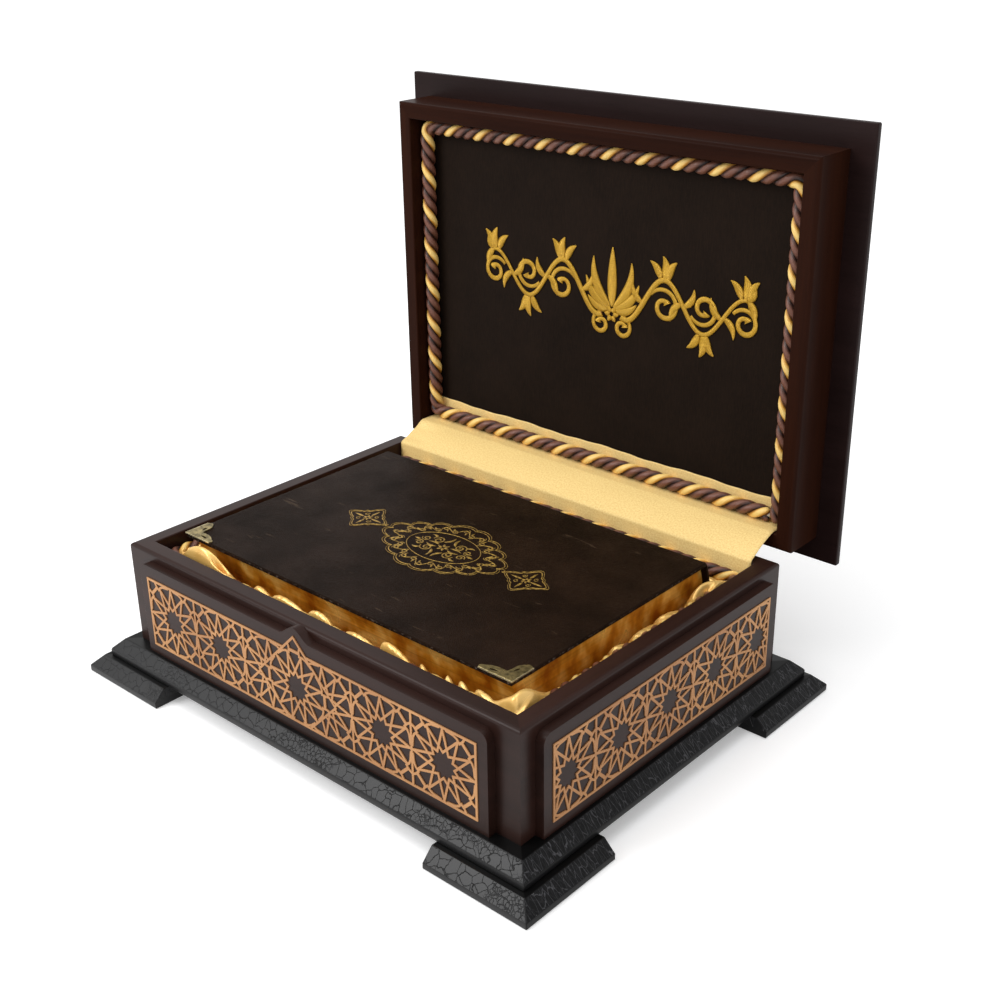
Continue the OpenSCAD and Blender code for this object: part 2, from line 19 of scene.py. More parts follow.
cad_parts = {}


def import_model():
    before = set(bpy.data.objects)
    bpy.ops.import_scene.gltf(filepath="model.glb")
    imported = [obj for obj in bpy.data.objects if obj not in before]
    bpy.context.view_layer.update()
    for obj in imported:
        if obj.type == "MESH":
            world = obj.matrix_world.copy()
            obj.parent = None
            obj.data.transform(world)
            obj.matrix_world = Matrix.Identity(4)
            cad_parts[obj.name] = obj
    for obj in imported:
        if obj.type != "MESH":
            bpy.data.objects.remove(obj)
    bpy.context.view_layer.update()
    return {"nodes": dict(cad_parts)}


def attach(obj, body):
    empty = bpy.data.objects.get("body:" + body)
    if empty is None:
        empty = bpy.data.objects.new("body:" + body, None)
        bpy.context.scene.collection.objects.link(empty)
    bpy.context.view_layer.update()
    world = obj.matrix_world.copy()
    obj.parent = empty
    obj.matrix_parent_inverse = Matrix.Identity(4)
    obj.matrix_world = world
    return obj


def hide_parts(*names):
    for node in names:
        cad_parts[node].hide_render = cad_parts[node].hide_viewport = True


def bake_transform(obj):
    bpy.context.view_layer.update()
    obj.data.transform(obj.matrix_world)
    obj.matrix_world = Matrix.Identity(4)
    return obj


LOG = logging.getLogger("presentation_box")
MM = 0.001
TURN = 2 * np.pi
RIGHT = (1.0, 0.0, 0.0)
BACK = (0.0, 1.0, 0.0)
UP = (0.0, 0.0, 1.0)
# Middle of the case in depth, top of the book's upper cover, and how near points are when they are merged
CASE_Y = -14.85
COVER_Z = 102.3
SAME_PLACE = 0.002 * MM
Colour = tuple[float, float, float, float]
Socket = bpy.types.NodeSocket


def srgb(red: float, green: float, blue: float) -> Colour:
    """Turns a colour given from 0 to 255, as a picture shows it, into linear light.

    Args:
        red: Red as shown.
        green: Green as shown.
        blue: Blue as shown.

    Returns:
        The linear colour, with full alpha.
    """
    shown = np.array([red, green, blue]) / 255
    linear = np.where(shown <= 0.04045, shown / 12.92, ((shown + 0.055) / 1.055) ** 2.4)
    return (*(float(part) for part in linear), 1.0)


# Nodes and finishes


class NodeSheet:
    """Node tree of one finish, with a method for each kind of node that the finishes use."""

    def __init__(self, name: str) -> None:
        """Starts a material with nothing but its shader.

        Args:
            name: Name of the material.
        """
        self.material = bpy.data.materials.new(name)
        self.material.use_nodes = True
        self.tree = self.material.node_tree
        self.shader = next(n for n in self.tree.nodes if n.type == "BSDF_PRINCIPLED")

    def node(self, kind: str, inputs: dict | None = None, **settings: object) -> bpy.types.Node:
        """Adds a node, sets its options and feeds its inputs.

        Args:
            kind: Blender's name for the node's type.
            inputs: Value or socket for each input, by name or number.
            **settings: Options of the node.

        Returns:
            The new node.
        """
        made = self.tree.nodes.new(kind)
        for key, value in settings.items():
            setattr(made, key, value)
        for key, value in (inputs or {}).items():
            self.feed(made.inputs[key], value)
        return made

    def feed(self, socket: Socket, value: object) -> None:
        """Links a socket to another, or sets its value.

        Args:
            socket: Input to feed.
            value: Socket to link it to, or its value.
        """
        if isinstance(value, Socket):
            self.tree.links.new(value, socket)
        else:
            socket.default_value = value

    def point(self, source: str, stretch: Sequence[float] = (1, 1, 1),
              turn: Sequence[float] = (0, 0, 0)) -> Socket:
        """Gives the place on the surface that a pattern reads.

        Args:
            source: Object, in metres, or UV, in millimetres along the surface.
            stretch: Scale along each axis.
            turn: Turn about each axis, in radians.

        Returns:
            The stretched and turned place.
        """
        place = self.node("ShaderNodeTexCoord").outputs[source]
        inputs = {"Vector": place, "Scale": stretch, "Rotation": turn}
        return self.node("ShaderNodeMapping", inputs).outputs["Vector"]

    def along(self, place: Socket, axis: str) -> Socket:
        """Gives one coordinate of a place."""
        return self.node("ShaderNodeSeparateXYZ", {0: place}).outputs[axis]

    def number(self, operation: str, first: object, second: object = 0.0) -> Socket:
        """Works on one or two numbers, by Blender's name for the operation."""
        return self.node("ShaderNodeMath", {0: first, 1: second}, operation=operation).outputs[0]

    def vector(self, operation: str, first: Socket, second: object = (0, 0, 0),
               result: str = "Vector") -> Socket:
        """Works on one or two vectors, by Blender's name for the operation, and gives a vector or a value."""
        return self.node("ShaderNodeVectorMath", {0: first, 1: second}, operation=operation).outputs[result]

    def noise(self, place: Socket, scale: float, detail: float = 2, roughness: float = 0.5,
              bend: float = 0) -> Socket:
        """Cloudy noise from 0 to 1.

        Args:
            place: Where to read it.
            scale: How fine it is.
            detail: Number of finer layers.
            roughness: Strength of the finer layers.
            bend: How far it distorts itself.

        Returns:
            The noise's factor.
        """
        inputs = {"Vector": place, "Scale": scale, "Detail": detail, "Roughness": roughness,
                  "Distortion": bend}
        return self.node("ShaderNodeTexNoise", inputs).outputs["Fac"]

    def moved(self, place: Socket, scale: float, reach: float) -> Socket:
        """Shifts a place by coloured noise, so that a pattern read there isn't regular.

        Args:
            place: Place to shift.
            scale: How fine the shift is.
            reach: How far it goes.

        Returns:
            The shifted place.
        """
        inputs = {"Vector": place, "Scale": scale, "Detail": 2.0}
        cloud = self.node("ShaderNodeTexNoise", inputs).outputs["Color"]
        centred = self.vector("SUBTRACT", cloud, (0.5, 0.5, 0.5))
        return self.vector("ADD", place, self.vector("MULTIPLY", centred, (reach, reach, reach)))

    def wave(self, place: Socket, scale: float, bend: float, axis: str = "X") -> Socket:
        """Even bands from 0 to 1.

        Args:
            place: Where to read them.
            scale: How fine they are.
            bend: How far noise distorts them.
            axis: Direction from band to band.

        Returns:
            The bands' factor.
        """
        inputs = {"Vector": place, "Scale": scale, "Distortion": bend}
        return self.node("ShaderNodeTexWave", inputs, bands_direction=axis).outputs["Fac"]

    def creases(self, place: Socket, scale: float) -> Socket:
        """Distance from the borders of irregular cells, 0 on a border.

        Args:
            place: Where to read it.
            scale: Cells per unit of length.

        Returns:
            The distance.
        """
        inputs = {"Vector": place, "Scale": scale}
        return self.node("ShaderNodeTexVoronoi", inputs, feature="DISTANCE_TO_EDGE").outputs["Distance"]

    def ramp(self, factor: Socket, *stops: tuple[float, Colour]) -> Socket:
        """Colours a factor by stops along it.

        Args:
            factor: What to colour.
            *stops: Place and colour of each stop.

        Returns:
            The colour.
        """
        made = self.node("ShaderNodeValToRGB", {"Fac": factor})
        points = made.color_ramp.elements
        for _ in stops[2:]:
            points.new(0.5)
        for point, (place, colour) in zip(points, stops):
            point.position = place
            point.color = colour
        return made.outputs["Color"]

    def span(self, factor: Socket, low: float, high: float, start: float = 0, end: float = 1) -> Socket:
        """Maps low to start and high to end, and holds beyond them.

        Args:
            factor: What to map.
            low: Factor that gives start.
            high: Factor that gives end.
            start: Value at low.
            end: Value at high.

        Returns:
            The mapped value.
        """
        inputs = {"Value": factor, "From Min": low, "From Max": high, "To Min": start, "To Max": end}
        return self.node("ShaderNodeMapRange", inputs).outputs["Result"]

    def spread(self, noise: Socket, start: float, end: float) -> Socket:
        """Maps the range that noise mostly keeps to, from 0.3 to 0.7, to start and end."""
        return self.span(noise, 0.3, 0.7, start, end)

    def mix(self, factor: object, first: object, second: object) -> Socket:
        """Mixes two colours.

        Args:
            factor: Share of the second.
            first: First colour.
            second: Second colour.

        Returns:
            The mixed colour.
        """
        return self.node("ShaderNodeMix", {0: factor, 6: first, 7: second}, data_type="RGBA").outputs[2]

    def sum(self, first: object, second: object, share: float = 1) -> Socket:
        """Adds a share of the second number to the first."""
        inputs = {0: second, 1: share, 2: first}
        return self.node("ShaderNodeMath", inputs, operation="MULTIPLY_ADD").outputs[0]

    def bump(self, height: Socket, depth: float, strength: float = 1) -> None:
        """Gives the surface a relief.

        Args:
            height: Relief from 0 to 1.
            depth: Its depth in millimetres.
            strength: How strongly it shows.
        """
        made = self.node("ShaderNodeBump", {"Height": height, "Distance": depth * MM, "Strength": strength})
        self.feed(self.shader.inputs["Normal"], made.outputs["Normal"])

    def shade(self, **values: object) -> None:
        """Sets or links the shader's inputs, named with underscores for spaces."""
        for key, value in values.items():
            self.feed(self.shader.inputs[key.replace("_", " ")], value)


class Finish:
    """A surface finish, made once as a material under its own name."""

    @property
    def title(self) -> str:
        """Name of the finish: the words of its class, then the options that it was made with.

        Returns:
            The words in small letters, joined by underscores.
        """
        words = "".join(" " + c.lower() if c.isupper() else c for c in type(self).__name__)
        options = [value.name.lower() for value in vars(self).values() if isinstance(value, Enum)]
        return "_".join(words.split() + options)

    def paint(self, sheet: NodeSheet) -> None:
        """Lays out the finish's nodes on a sheet."""
        raise NotImplementedError

    def material(self) -> bpy.types.Material:
        """Gives the finish's material, making it the first time.

        Returns:
            The material.
        """
        name = self.title + "_finish"
        made = bpy.data.materials.get(name)
        if made is None:
            sheet = NodeSheet(name)
            self.paint(sheet)
            made = sheet.material
        return made


class Grain(Enum):
    """Direction in which a board's grain runs, as the stretch of its pattern, which is drawn out that way."""

    ACROSS = (0.06, 1, 1)
    ENDWISE = (1, 0.06, 1)
    UPRIGHT = (1, 1, 0.06)


class Stain(Enum):
    """Stain of the wood: its dark and light colours, and how much the lacquer over it shines."""

    BROWN = (srgb(34, 20, 16), srgb(48, 29, 24), 0.15)
    RED = (srgb(34, 16, 10), srgb(46, 23, 14), 0.02)
    PLUM = (srgb(28, 17, 16), srgb(36, 23, 22), 0.08)


@dataclass(frozen=True)
class LacqueredWood(Finish):
    """Dark brown hardwood under satin lacquer: fine pores along the grain and slow darker bands."""

    stain: Stain
    grain: Grain

    def paint(self, sheet: NodeSheet) -> None:
        """Bands colour the wood, pores darken it and dent the lacquer, and other noise varies the gloss.

        Args:
            sheet: Sheet of the finish.
        """
        place = sheet.point("Object", self.grain.value)
        bands = sheet.noise(place, 60, 4, 0.6, 0.4)
        pores = sheet.noise(place, 900, 3, 0.7)
        dark, light, shine = self.stain.value
        wood = sheet.ramp(bands, (0.3, dark), (0.7, light))
        colour = sheet.mix(sheet.span(pores, 0.5, 0.75, 0, 0.35), wood, srgb(20, 11, 9))
        gloss = sheet.noise(sheet.point("Object"), 45, 3)
        rough = sheet.spread(gloss, 0.31, 0.35)
        sheet.shade(Base_Color=colour, Roughness=rough, Specular_IOR_Level=shine)
        sheet.bump(pores, 0.05, 0.25)


@dataclass(frozen=True)
class GrainedBlack(Finish):
    """Black lacquer, crackled on the slopes: flat plates between cracks, with a finer pebble in patches.

    The boards are mitred at 45 degrees. On the end boards the ground is darker, a painted shade, and the
    cracks are pale, a painted highlight.
    """

    ground: Colour = srgb(23, 23, 24)
    # Painted shade: the darker ground of the end boards
    end_ground: Colour = srgb(14, 14, 15)
    crack: Colour = srgb(6, 6, 6)
    # Painted highlight: the pale cracks of the end boards, where crack edges would catch the light
    end_crack: Colour = srgb(84, 84, 87)
    flat: Colour = srgb(7, 7, 7)
    upright: Colour = srgb(20, 20, 21)
    longer: float = 45 * MM
    mitre: float = 0.3 * MM
    thickness: float = 12 * MM
    slope: tuple[float, float, float, float] = (0.375, 0.39, 0.975, 0.985)

    def ends(self, sheet: NodeSheet) -> Socket:
        """Tells the end boards from the long ones, by which side of the mitre a place is on.

        Args:
            sheet: Sheet of the finish.

        Returns:
            1 on the end boards and 0 on the long ones.
        """
        place = sheet.vector("SUBTRACT", sheet.point("Object"), (0, CASE_Y * MM, 0))
        lead = sheet.vector("DOT_PRODUCT", sheet.vector("ABSOLUTE", place), (1, -1, 0), "Value")
        return sheet.span(lead, self.longer - self.mitre, self.longer + self.mitre)

    def rise(self, sheet: NodeSheet) -> Socket:
        """Gives the height on a board as a share of its thickness, which base and feet have in common."""
        boards = sheet.number("DIVIDE", sheet.along(sheet.point("Object"), "Z"), self.thickness)
        return sheet.number("FRACT", boards)

    def paint(self, sheet: NodeSheet) -> None:
        """Two sizes of cells, bent by noise, sink along their borders. Slow noise chooses between them.

        Args:
            sheet: Sheet of the finish.
        """
        ends = self.ends(sheet)
        rise = self.rise(sheet)
        none = srgb(0, 0, 0)
        full = srgb(255, 255, 255)
        slope = sheet.ramp(rise, *zip(self.slope, (none, full, full, none)))
        flats = sheet.ramp(rise, (0.01, self.flat), (0.012, self.upright), (0.5, self.flat))
        on_long = sheet.point("Object", (0.75, 1, 0.35))
        on_ends = sheet.point("Object", (0.45, 1.4, 0.3))
        place = sheet.moved(sheet.moved(sheet.mix(ends, on_long, on_ends), 120, 0.004), 500, 0.0012)
        plates = sheet.span(sheet.creases(place, 200), 0, 0.03)
        pebble = sheet.span(sheet.creases(sheet.moved(place, 400, 0.002), 430), 0, 0.07)
        patches = sheet.span(sheet.noise(sheet.point("Object"), 11, 2), 0.5, 0.56)
        relief = sheet.mix(sheet.mix(ends, patches, srgb(110, 110, 110)), plates, pebble)
        relief = sheet.mix(slope, full, relief)
        # The end boards take the painted-highlight cracks and, on the next line, the painted-shade ground
        cracks = sheet.mix(ends, self.crack, self.end_crack)
        colour = sheet.mix(relief, cracks, sheet.mix(ends, self.ground, self.end_ground))
        rough = sheet.span(relief, 0, 1, 0.6, 0.36)
        shine = sheet.span(ends, 0, 1, 0.26, 0.1)
        sheet.shade(Base_Color=sheet.mix(slope, flats, colour), Roughness=rough, Specular_IOR_Level=shine)
        sheet.bump(relief, 0.4, 0.7)


@dataclass(frozen=True)
class CopperInlay(Finish):
    """Thin copper-gold strapwork, softly brushed and a little darker in patches."""

    def paint(self, sheet: NodeSheet) -> None:
        """Slow noise shifts the colour and fine noise the gloss.

        Args:
            sheet: Sheet of the finish.
        """
        place = sheet.point("Object")
        tone = sheet.noise(place, 30, 3)
        colour = sheet.ramp(tone, (0.3, srgb(168, 119, 78)), (0.7, srgb(194, 144, 96)))
        brush = sheet.noise(place, 1500, 2)
        sheet.shade(Base_Color=colour, Metallic=0.25, Roughness=sheet.spread(brush, 0.42, 0.56))
        sheet.shade(Specular_IOR_Level=0.25)
        sheet.bump(brush, 0.03, 0.2)


@dataclass(frozen=True)
class HingeBrass(Finish):
    """Rolled brass with a light lengthwise brush."""

    def paint(self, sheet: NodeSheet) -> None:
        """Noise drawn out along the hinge brushes colour and gloss.

        Args:
            sheet: Sheet of the finish.
        """
        brush = sheet.noise(sheet.point("Object", (0.03, 1, 1)), 1600, 3)
        colour = sheet.ramp(brush, (0.3, srgb(170, 140, 82)), (0.7, srgb(206, 178, 112)))
        sheet.shade(Base_Color=colour, Metallic=1.0, Roughness=sheet.spread(brush, 0.24, 0.4))
        sheet.bump(brush, 0.02, 0.2)


class Wear(Enum):
    """Wear of the brass, as its dark and light colours: dull on a face, rubbed bright on an edge."""

    DULL = (srgb(84, 74, 46), srgb(170, 152, 102))
    RUBBED = (srgb(186, 170, 124), srgb(240, 228, 190))


@dataclass(frozen=True)
class AntiqueBrass(Finish):
    """Aged pale brass with darker tarnish."""

    wear: Wear

    def paint(self, sheet: NodeSheet) -> None:
        """Noise lays tarnish in patches, which are darker and duller.

        Args:
            sheet: Sheet of the finish.
        """
        dark, light = self.wear.value
        tarnish = sheet.noise(sheet.point("Object"), 260, 5, 0.6)
        colour = sheet.ramp(tarnish, (0.35, dark), (0.62, light))
        sheet.shade(Base_Color=colour, Metallic=0.9, Roughness=sheet.spread(tarnish, 0.4, 0.24))
        sheet.bump(tarnish, 0.06, 0.3)


@dataclass(frozen=True)
class GoldSatin(Finish):
    """Gold satin: a smooth, coloured sheen over deep folds, with the weave only just there."""

    def paint(self, sheet: NodeSheet) -> None:
        """Floats along the cloth shift the colour a little, and a fine weave roughens the sheen.

        Args:
            sheet: Sheet of the finish.
        """
        floats = sheet.noise(sheet.point("UV", (0.04, 1, 1)), 3.2, 2)
        tone = sheet.noise(sheet.point("Object"), 70, 2)
        base = sheet.ramp(tone, (0.3, srgb(228, 172, 82)), (0.7, srgb(240, 196, 114)))
        colour = sheet.mix(sheet.spread(floats, 0, 0.2), base, srgb(250, 216, 144))
        sheet.shade(Base_Color=colour, Metallic=0.3, Roughness=sheet.spread(floats, 0.2, 0.28))
        sheet.shade(Sheen_Weight=0.08, Sheen_Roughness=0.4, Sheen_Tint=srgb(255, 226, 160))
        sheet.bump(floats, 0.03, 0.3)


@dataclass(frozen=True)
class GoldCloth(Finish):
    """Pale gold cloth, matte, with a fine plain weave."""

    def paint(self, sheet: NodeSheet) -> None:
        """Warp and weft are two waves crossed at half a millimetre, and slow noise stains the colour.

        Args:
            sheet: Sheet of the finish.
        """
        place = sheet.point("UV")
        warp = sheet.wave(place, 0.62, 0.6, "X")
        weft = sheet.wave(place, 0.62, 0.6, "Y")
        weave = sheet.sum(sheet.number("MULTIPLY", warp, 0.5), weft, 0.5)
        tone = sheet.noise(place, 0.9, 5, 0.75)
        base = sheet.ramp(tone, (0.34, srgb(226, 186, 112)), (0.6, srgb(250, 222, 152)))
        colour = sheet.mix(sheet.span(weave, 0.1, 0.6, 0.3, 0), base, srgb(208, 162, 88))
        sheet.shade(Base_Color=colour, Roughness=0.55, Specular_IOR_Level=0.3)
        sheet.shade(Sheen_Weight=0.06, Sheen_Roughness=0.5, Sheen_Tint=srgb(255, 232, 170))
        sheet.bump(weave, 0.12, 0.45)


class Strand(Enum):
    """Colours of the rope's strands: painted shade in the grooves, the sides, and a painted highlight on the
    crown.
    """

    BROWN = (srgb(24, 8, 5), srgb(70, 37, 26), srgb(114, 72, 56))
    GOLD = (srgb(112, 62, 12), srgb(208, 150, 58), srgb(246, 208, 124))


@dataclass(frozen=True)
class RopeYarn(Finish):
    """Silky yarn whose filaments run along the strand."""

    strand: Strand
    radius: float = 2.65

    def paint(self, sheet: NodeSheet) -> None:
        """The cosine of the way round a strand paints shade into its grooves and a highlight on its crown,
        and drawn-out noise makes its filaments.

        Args:
            sheet: Sheet of the finish.
        """
        # Painted shade in the grooves and a painted highlight on the crown, by the cosine of the way round
        groove_painted_shade, side, crown = self.strand.value
        filaments = sheet.noise(sheet.point("UV", (0.05, 1, 1), (0, 0, 0.22)), 1.7, 3, 0.6)
        angle = sheet.number("DIVIDE", sheet.along(sheet.point("UV"), "Y"), self.radius)
        turned = sheet.number("COSINE", angle)
        tone = sheet.sum(sheet.span(turned, 0.05, 0.95, 0, 0.72), filaments, 0.28)
        sheet.shade(Base_Color=sheet.ramp(tone, (0.2, groove_painted_shade), (0.55, side), (0.86, crown)))
        sheet.shade(Roughness=sheet.spread(filaments, 0.44, 0.28), Specular_IOR_Level=0.4)
        sheet.bump(filaments, 0.4, 0.8)


@dataclass(frozen=True)
class CottonCore(Finish):
    """White cotton core that shows where a rope is cut."""

    def paint(self, sheet: NodeSheet) -> None:
        """Fine noise shades the cut fibres.

        Args:
            sheet: Sheet of the finish.
        """
        fibres = sheet.noise(sheet.point("Object"), 2600, 3)
        sheet.shade(Base_Color=sheet.ramp(fibres, (0.3, srgb(205, 190, 165)), (0.6, srgb(246, 240, 226))))
        sheet.shade(Roughness=0.85)
        sheet.bump(fibres, 0.2, 0.5)


@dataclass(frozen=True)
class DarkVelvet(Finish):
    """Very dark brown cloth with a short nap, brushed a little unevenly."""

    def paint(self, sheet: NodeSheet) -> None:
        """Slow noise brushes the nap, and a fine twill of slanted threads lies under it.

        Args:
            sheet: Sheet of the finish.
        """
        nap = sheet.noise(sheet.point("Object"), 22, 4, 0.6)
        threads = sheet.noise(sheet.point("Object", (1, 1, 0.12), (0, 0.6, 0)), 1800, 2)
        base = sheet.ramp(nap, (0.3, srgb(20, 14, 10)), (0.7, srgb(28, 20, 15)))
        sheet.shade(Base_Color=sheet.mix(sheet.span(threads, 0.35, 0.7, 0, 0.35), base, srgb(40, 28, 20)))
        sheet.shade(Roughness=0.75, Specular_IOR_Level=0.05)
        sheet.bump(threads, 0.1, 0.4)


@dataclass(frozen=True)
class GoldThread(Finish):
    """Raised satin stitch in gold thread, laid across the stroke."""

    def paint(self, sheet: NodeSheet) -> None:
        """A wave along the stroke makes the threads, and noise makes them uneven.

        Args:
            sheet: Sheet of the finish.
        """
        place = sheet.moved(sheet.point("UV"), 0.6, 0.5)
        threads = sheet.wave(place, 0.42, 0.8)
        colour = sheet.ramp(threads, (0.05, srgb(128, 80, 8)), (0.7, srgb(226, 180, 48)))
        sheet.shade(Base_Color=colour, Metallic=0.35, Roughness=sheet.span(threads, 0, 1, 0.5, 0.3))
        sheet.bump(threads, 0.3, 0.8)


@dataclass(frozen=True)
class CoverLeather(Finish):
    """Dark brown bookbinder's hide: fine grain, rubbed patches, scratches and, if asked, knobby edges painted
    lighter as a painted highlight.
    """

    chafed_below: float = 0.0
    blur: float = 0.3 * MM

    @property
    def title(self) -> str:
        """Name of the finish's material."""
        return "cover_leather_chafed" if self.chafed_below else "cover_leather"

    def paint(self, sheet: NodeSheet) -> None:
        """Small cells make the grain, slow noise rubs it, thin noise scratches it, and lumps roughen its edge
        and carry a painted highlight.

        Args:
            sheet: Sheet of the finish.
        """
        place = sheet.point("Object")
        grain = sheet.span(sheet.creases(sheet.moved(place, 500, 0.0015), 900), 0, 0.25)
        rub = sheet.noise(place, 26, 4, 0.6)
        marks = sheet.noise(sheet.point("Object", (0.12, 1, 1), (0, 0, 0.5)), 240, 4, 0.65, 0.8)
        scratches = sheet.span(marks, 0.655, 0.69)
        base = sheet.ramp(rub, (0.3, srgb(22, 14, 9)), (0.7, srgb(37, 25, 18)))
        colour = sheet.mix(sheet.span(scratches, 0, 1, 0, 0.45), base, srgb(84, 68, 54))
        relief = sheet.sum(grain, scratches, -0.6)
        if self.chafed_below:
            height = sheet.along(place, "Z")
            edge = sheet.span(height, self.chafed_below - self.blur, self.chafed_below + self.blur, 1, 0)
            lumps = sheet.number("MULTIPLY", sheet.span(sheet.noise(place, 420, 3, 0.7), 0.42, 0.66), edge)
            # Painted highlight: the lumps on the edge are painted lighter
            colour = sheet.mix(sheet.span(lumps, 0.5, 1, 0, 0.8), colour, srgb(104, 92, 84))
            relief = sheet.sum(relief, lumps, 4)
        rough = sheet.spread(rub, 0.42, 0.3)
        sheet.shade(Base_Color=colour, Roughness=rough, Specular_IOR_Level=0.02)
        sheet.bump(relief, 0.2, 0.6)


@dataclass(frozen=True)
class GoldStamp(Finish):
    """Gold foil pressed into the cover, rubbed thin in places."""

    def paint(self, sheet: NodeSheet) -> None:
        """Noise wears the foil from gold towards the hide's brown.

        Args:
            sheet: Sheet of the finish.
        """
        wear = sheet.noise(sheet.point("Object"), 420, 4, 0.65)
        colour = sheet.ramp(wear, (0.34, srgb(84, 60, 22)), (0.58, srgb(188, 152, 70)))
        sheet.shade(Base_Color=colour, Metallic=0.55, Roughness=sheet.spread(wear, 0.5, 0.34))
        sheet.bump(wear, 0.04, 0.3)


@dataclass(frozen=True)
class GiltLeaves(Finish):
    """Gilded leaf edges: fine lines between leaves, and gold mottling that is a painted reflection of the
    satin.
    """

    def paint(self, sheet: NodeSheet) -> None:
        """Noise drawn out level makes the leaves' lines, and tall cloudy noise the mottling, a painted
        reflection.

        Args:
            sheet: Sheet of the finish.
        """
        leaves = sheet.noise(sheet.point("Object", (0.01, 0.01, 1)), 640, 1)
        # Painted reflection: this mottling stands for the satin seen in the gilt
        reflection_mottle = sheet.noise(sheet.point("Object", (1, 1, 0.8)), 58, 3)
        dark, middle, light = srgb(164, 92, 10), srgb(216, 150, 44), srgb(252, 206, 108)
        base = sheet.ramp(reflection_mottle, (0.36, dark), (0.5, middle), (0.64, light))
        colour = sheet.mix(sheet.span(leaves, 0.45, 0.75, 0, 0.35), base, srgb(120, 66, 10))
        sheet.shade(Base_Color=colour, Metallic=0.35, Roughness=sheet.spread(reflection_mottle, 0.36, 0.26))
        sheet.bump(leaves, 0.15, 0.5)


@dataclass(frozen=True)
class Wadding(Finish):
    """Pale wadding under the lining."""

    def paint(self, sheet: NodeSheet) -> None:
        """Tangled noise gives the fibres their colour and loft.

        Args:
            sheet: Sheet of the finish.
        """
        fibres = sheet.noise(sheet.point("Object"), 700, 5, 0.7, 1.5)
        sheet.shade(Base_Color=sheet.ramp(fibres, (0.3, srgb(176, 166, 146)), (0.7, srgb(222, 214, 196))))
        sheet.shade(Roughness=0.9)
        sheet.bump(fibres, 0.4, 0.6)


# Surfaces


@dataclass
class Surface:
    """A patch of mesh: points in millimetres, faces by point number, and a UV pair for each face corner."""

    points: np.ndarray
    faces: list[np.ndarray]
    uv: list[np.ndarray]
    finish: int = 0


def lattice(points: np.ndarray, uv: np.ndarray, closed: tuple[bool, bool] = (False, False),
            flip: bool = False, finish: int = 0, caps: bool = False) -> Surface:
    """Joins a grid of points into four-sided faces.

    A face runs from a point to the next along the first direction, then across and back, so it faces the way
    of first cross second direction. A closed direction joins its last row to its first.

    Args:
        points: Grid of points, rows by columns by three.
        uv: Grid of UV pairs, one longer in each closed direction.
        closed: Whether rows and columns close on themselves.
        flip: Whether the faces point the other way.
        finish: Number of the piece's finish to use.
        caps: Whether the first and last rows, which close on themselves, are filled.

    Returns:
        The joined surface.
    """
    rows, columns = points.shape[:2]
    number = np.arange(rows * columns).reshape(rows, columns)
    i, j = np.meshgrid(np.arange(rows - (not closed[0])), np.arange(columns - (not closed[1])), indexing="ij")
    di, dj = np.array([0, 1, 1, 0]), np.array([0, 0, 1, 1])
    if flip:
        di, dj = dj, di
    steps_i, steps_j = i.reshape(-1, 1) + di, j.reshape(-1, 1) + dj
    faces = [number[steps_i % rows, steps_j % columns]]
    pairs = [uv[steps_i, steps_j]]
    if caps:
        for ring, flat in ((number[0], uv[0, :columns]), (number[-1, ::-1], uv[-1, columns - 1::-1])):
            faces.append((ring[::-1] if flip else ring).reshape(1, -1))
            pairs.append((flat[::-1] if flip else flat).reshape(1, -1, 2))
    return Surface(points.reshape(-1, 3), faces, pairs, finish)


def unit(vectors: np.ndarray) -> np.ndarray:
    """Scales vectors along the last axis to length one."""
    return vectors / np.linalg.norm(vectors, axis=-1, keepdims=True)


def circle(angle: np.ndarray | float) -> np.ndarray:
    """Points on a circle of radius one: the cosine and the sine of each angle."""
    return np.stack([np.cos(angle), np.sin(angle)], axis=-1)


def left_of(vectors: np.ndarray) -> np.ndarray:
    """Turns flat vectors to their left by a right angle."""
    return np.stack([-vectors[..., 1], vectors[..., 0]], axis=-1)


def heading(path: np.ndarray, closed: bool = False) -> np.ndarray:
    """Direction of a path at each point: from the neighbour before it to the one after."""
    ahead = np.roll(path, -1, 0) - np.roll(path, 1, 0) if closed else np.gradient(path, axis=0)
    return unit(ahead)


def grid(first: np.ndarray, second: np.ndarray) -> np.ndarray:
    """Pairs of numbers on a grid: the first changes from row to row, the second along a row."""
    return np.stack(np.meshgrid(first, second, indexing="ij"), axis=-1)


def lengths(path: np.ndarray) -> np.ndarray:
    """Gives the distance along a path to each of its points."""
    return np.concatenate([[0], np.cumsum(np.linalg.norm(np.diff(path, axis=0), axis=1))])


def even(path: np.ndarray, count: int) -> np.ndarray:
    """Places points at even steps along a path.

    Args:
        path: Points of the path.
        count: Number of points wanted, both ends included.

    Returns:
        The evenly spaced points.
    """
    at = lengths(path)
    wanted = np.linspace(0, at[-1], count)
    return np.stack([np.interp(wanted, at, path[:, k]) for k in range(path.shape[1])], axis=1)


def through(points: np.ndarray) -> np.ndarray:
    """Draws a smooth line through points: cubic pieces whose slope at a point follows its two neighbours.

    Args:
        points: Points to pass.

    Returns:
        Points of the line.
    """
    ends = np.concatenate([points[:1], points, points[-1:]])
    steps = 6
    t = np.linspace(0, 1, steps, endpoint=False)[:, None, None]
    a, b, c, d = ends[:-3], ends[1:-2], ends[2:-1], ends[3:]
    line = b + 0.5 * ((c - a) * t + (2 * a - 5 * b + 4 * c - d) * t ** 2 + (3 * b - a - 3 * c + d) * t ** 3)
    return np.concatenate([line.transpose(1, 0, 2).reshape(-1, points.shape[1]), points[-1:]])


def smooth_step(values: np.ndarray, low: float, high: float) -> np.ndarray:
    """Rises smoothly from 0 at low to 1 at high: three squares less two cubes of the share between."""
    share = np.clip((values - low) / (high - low), 0, 1)
    return share * share * (3 - 2 * share)


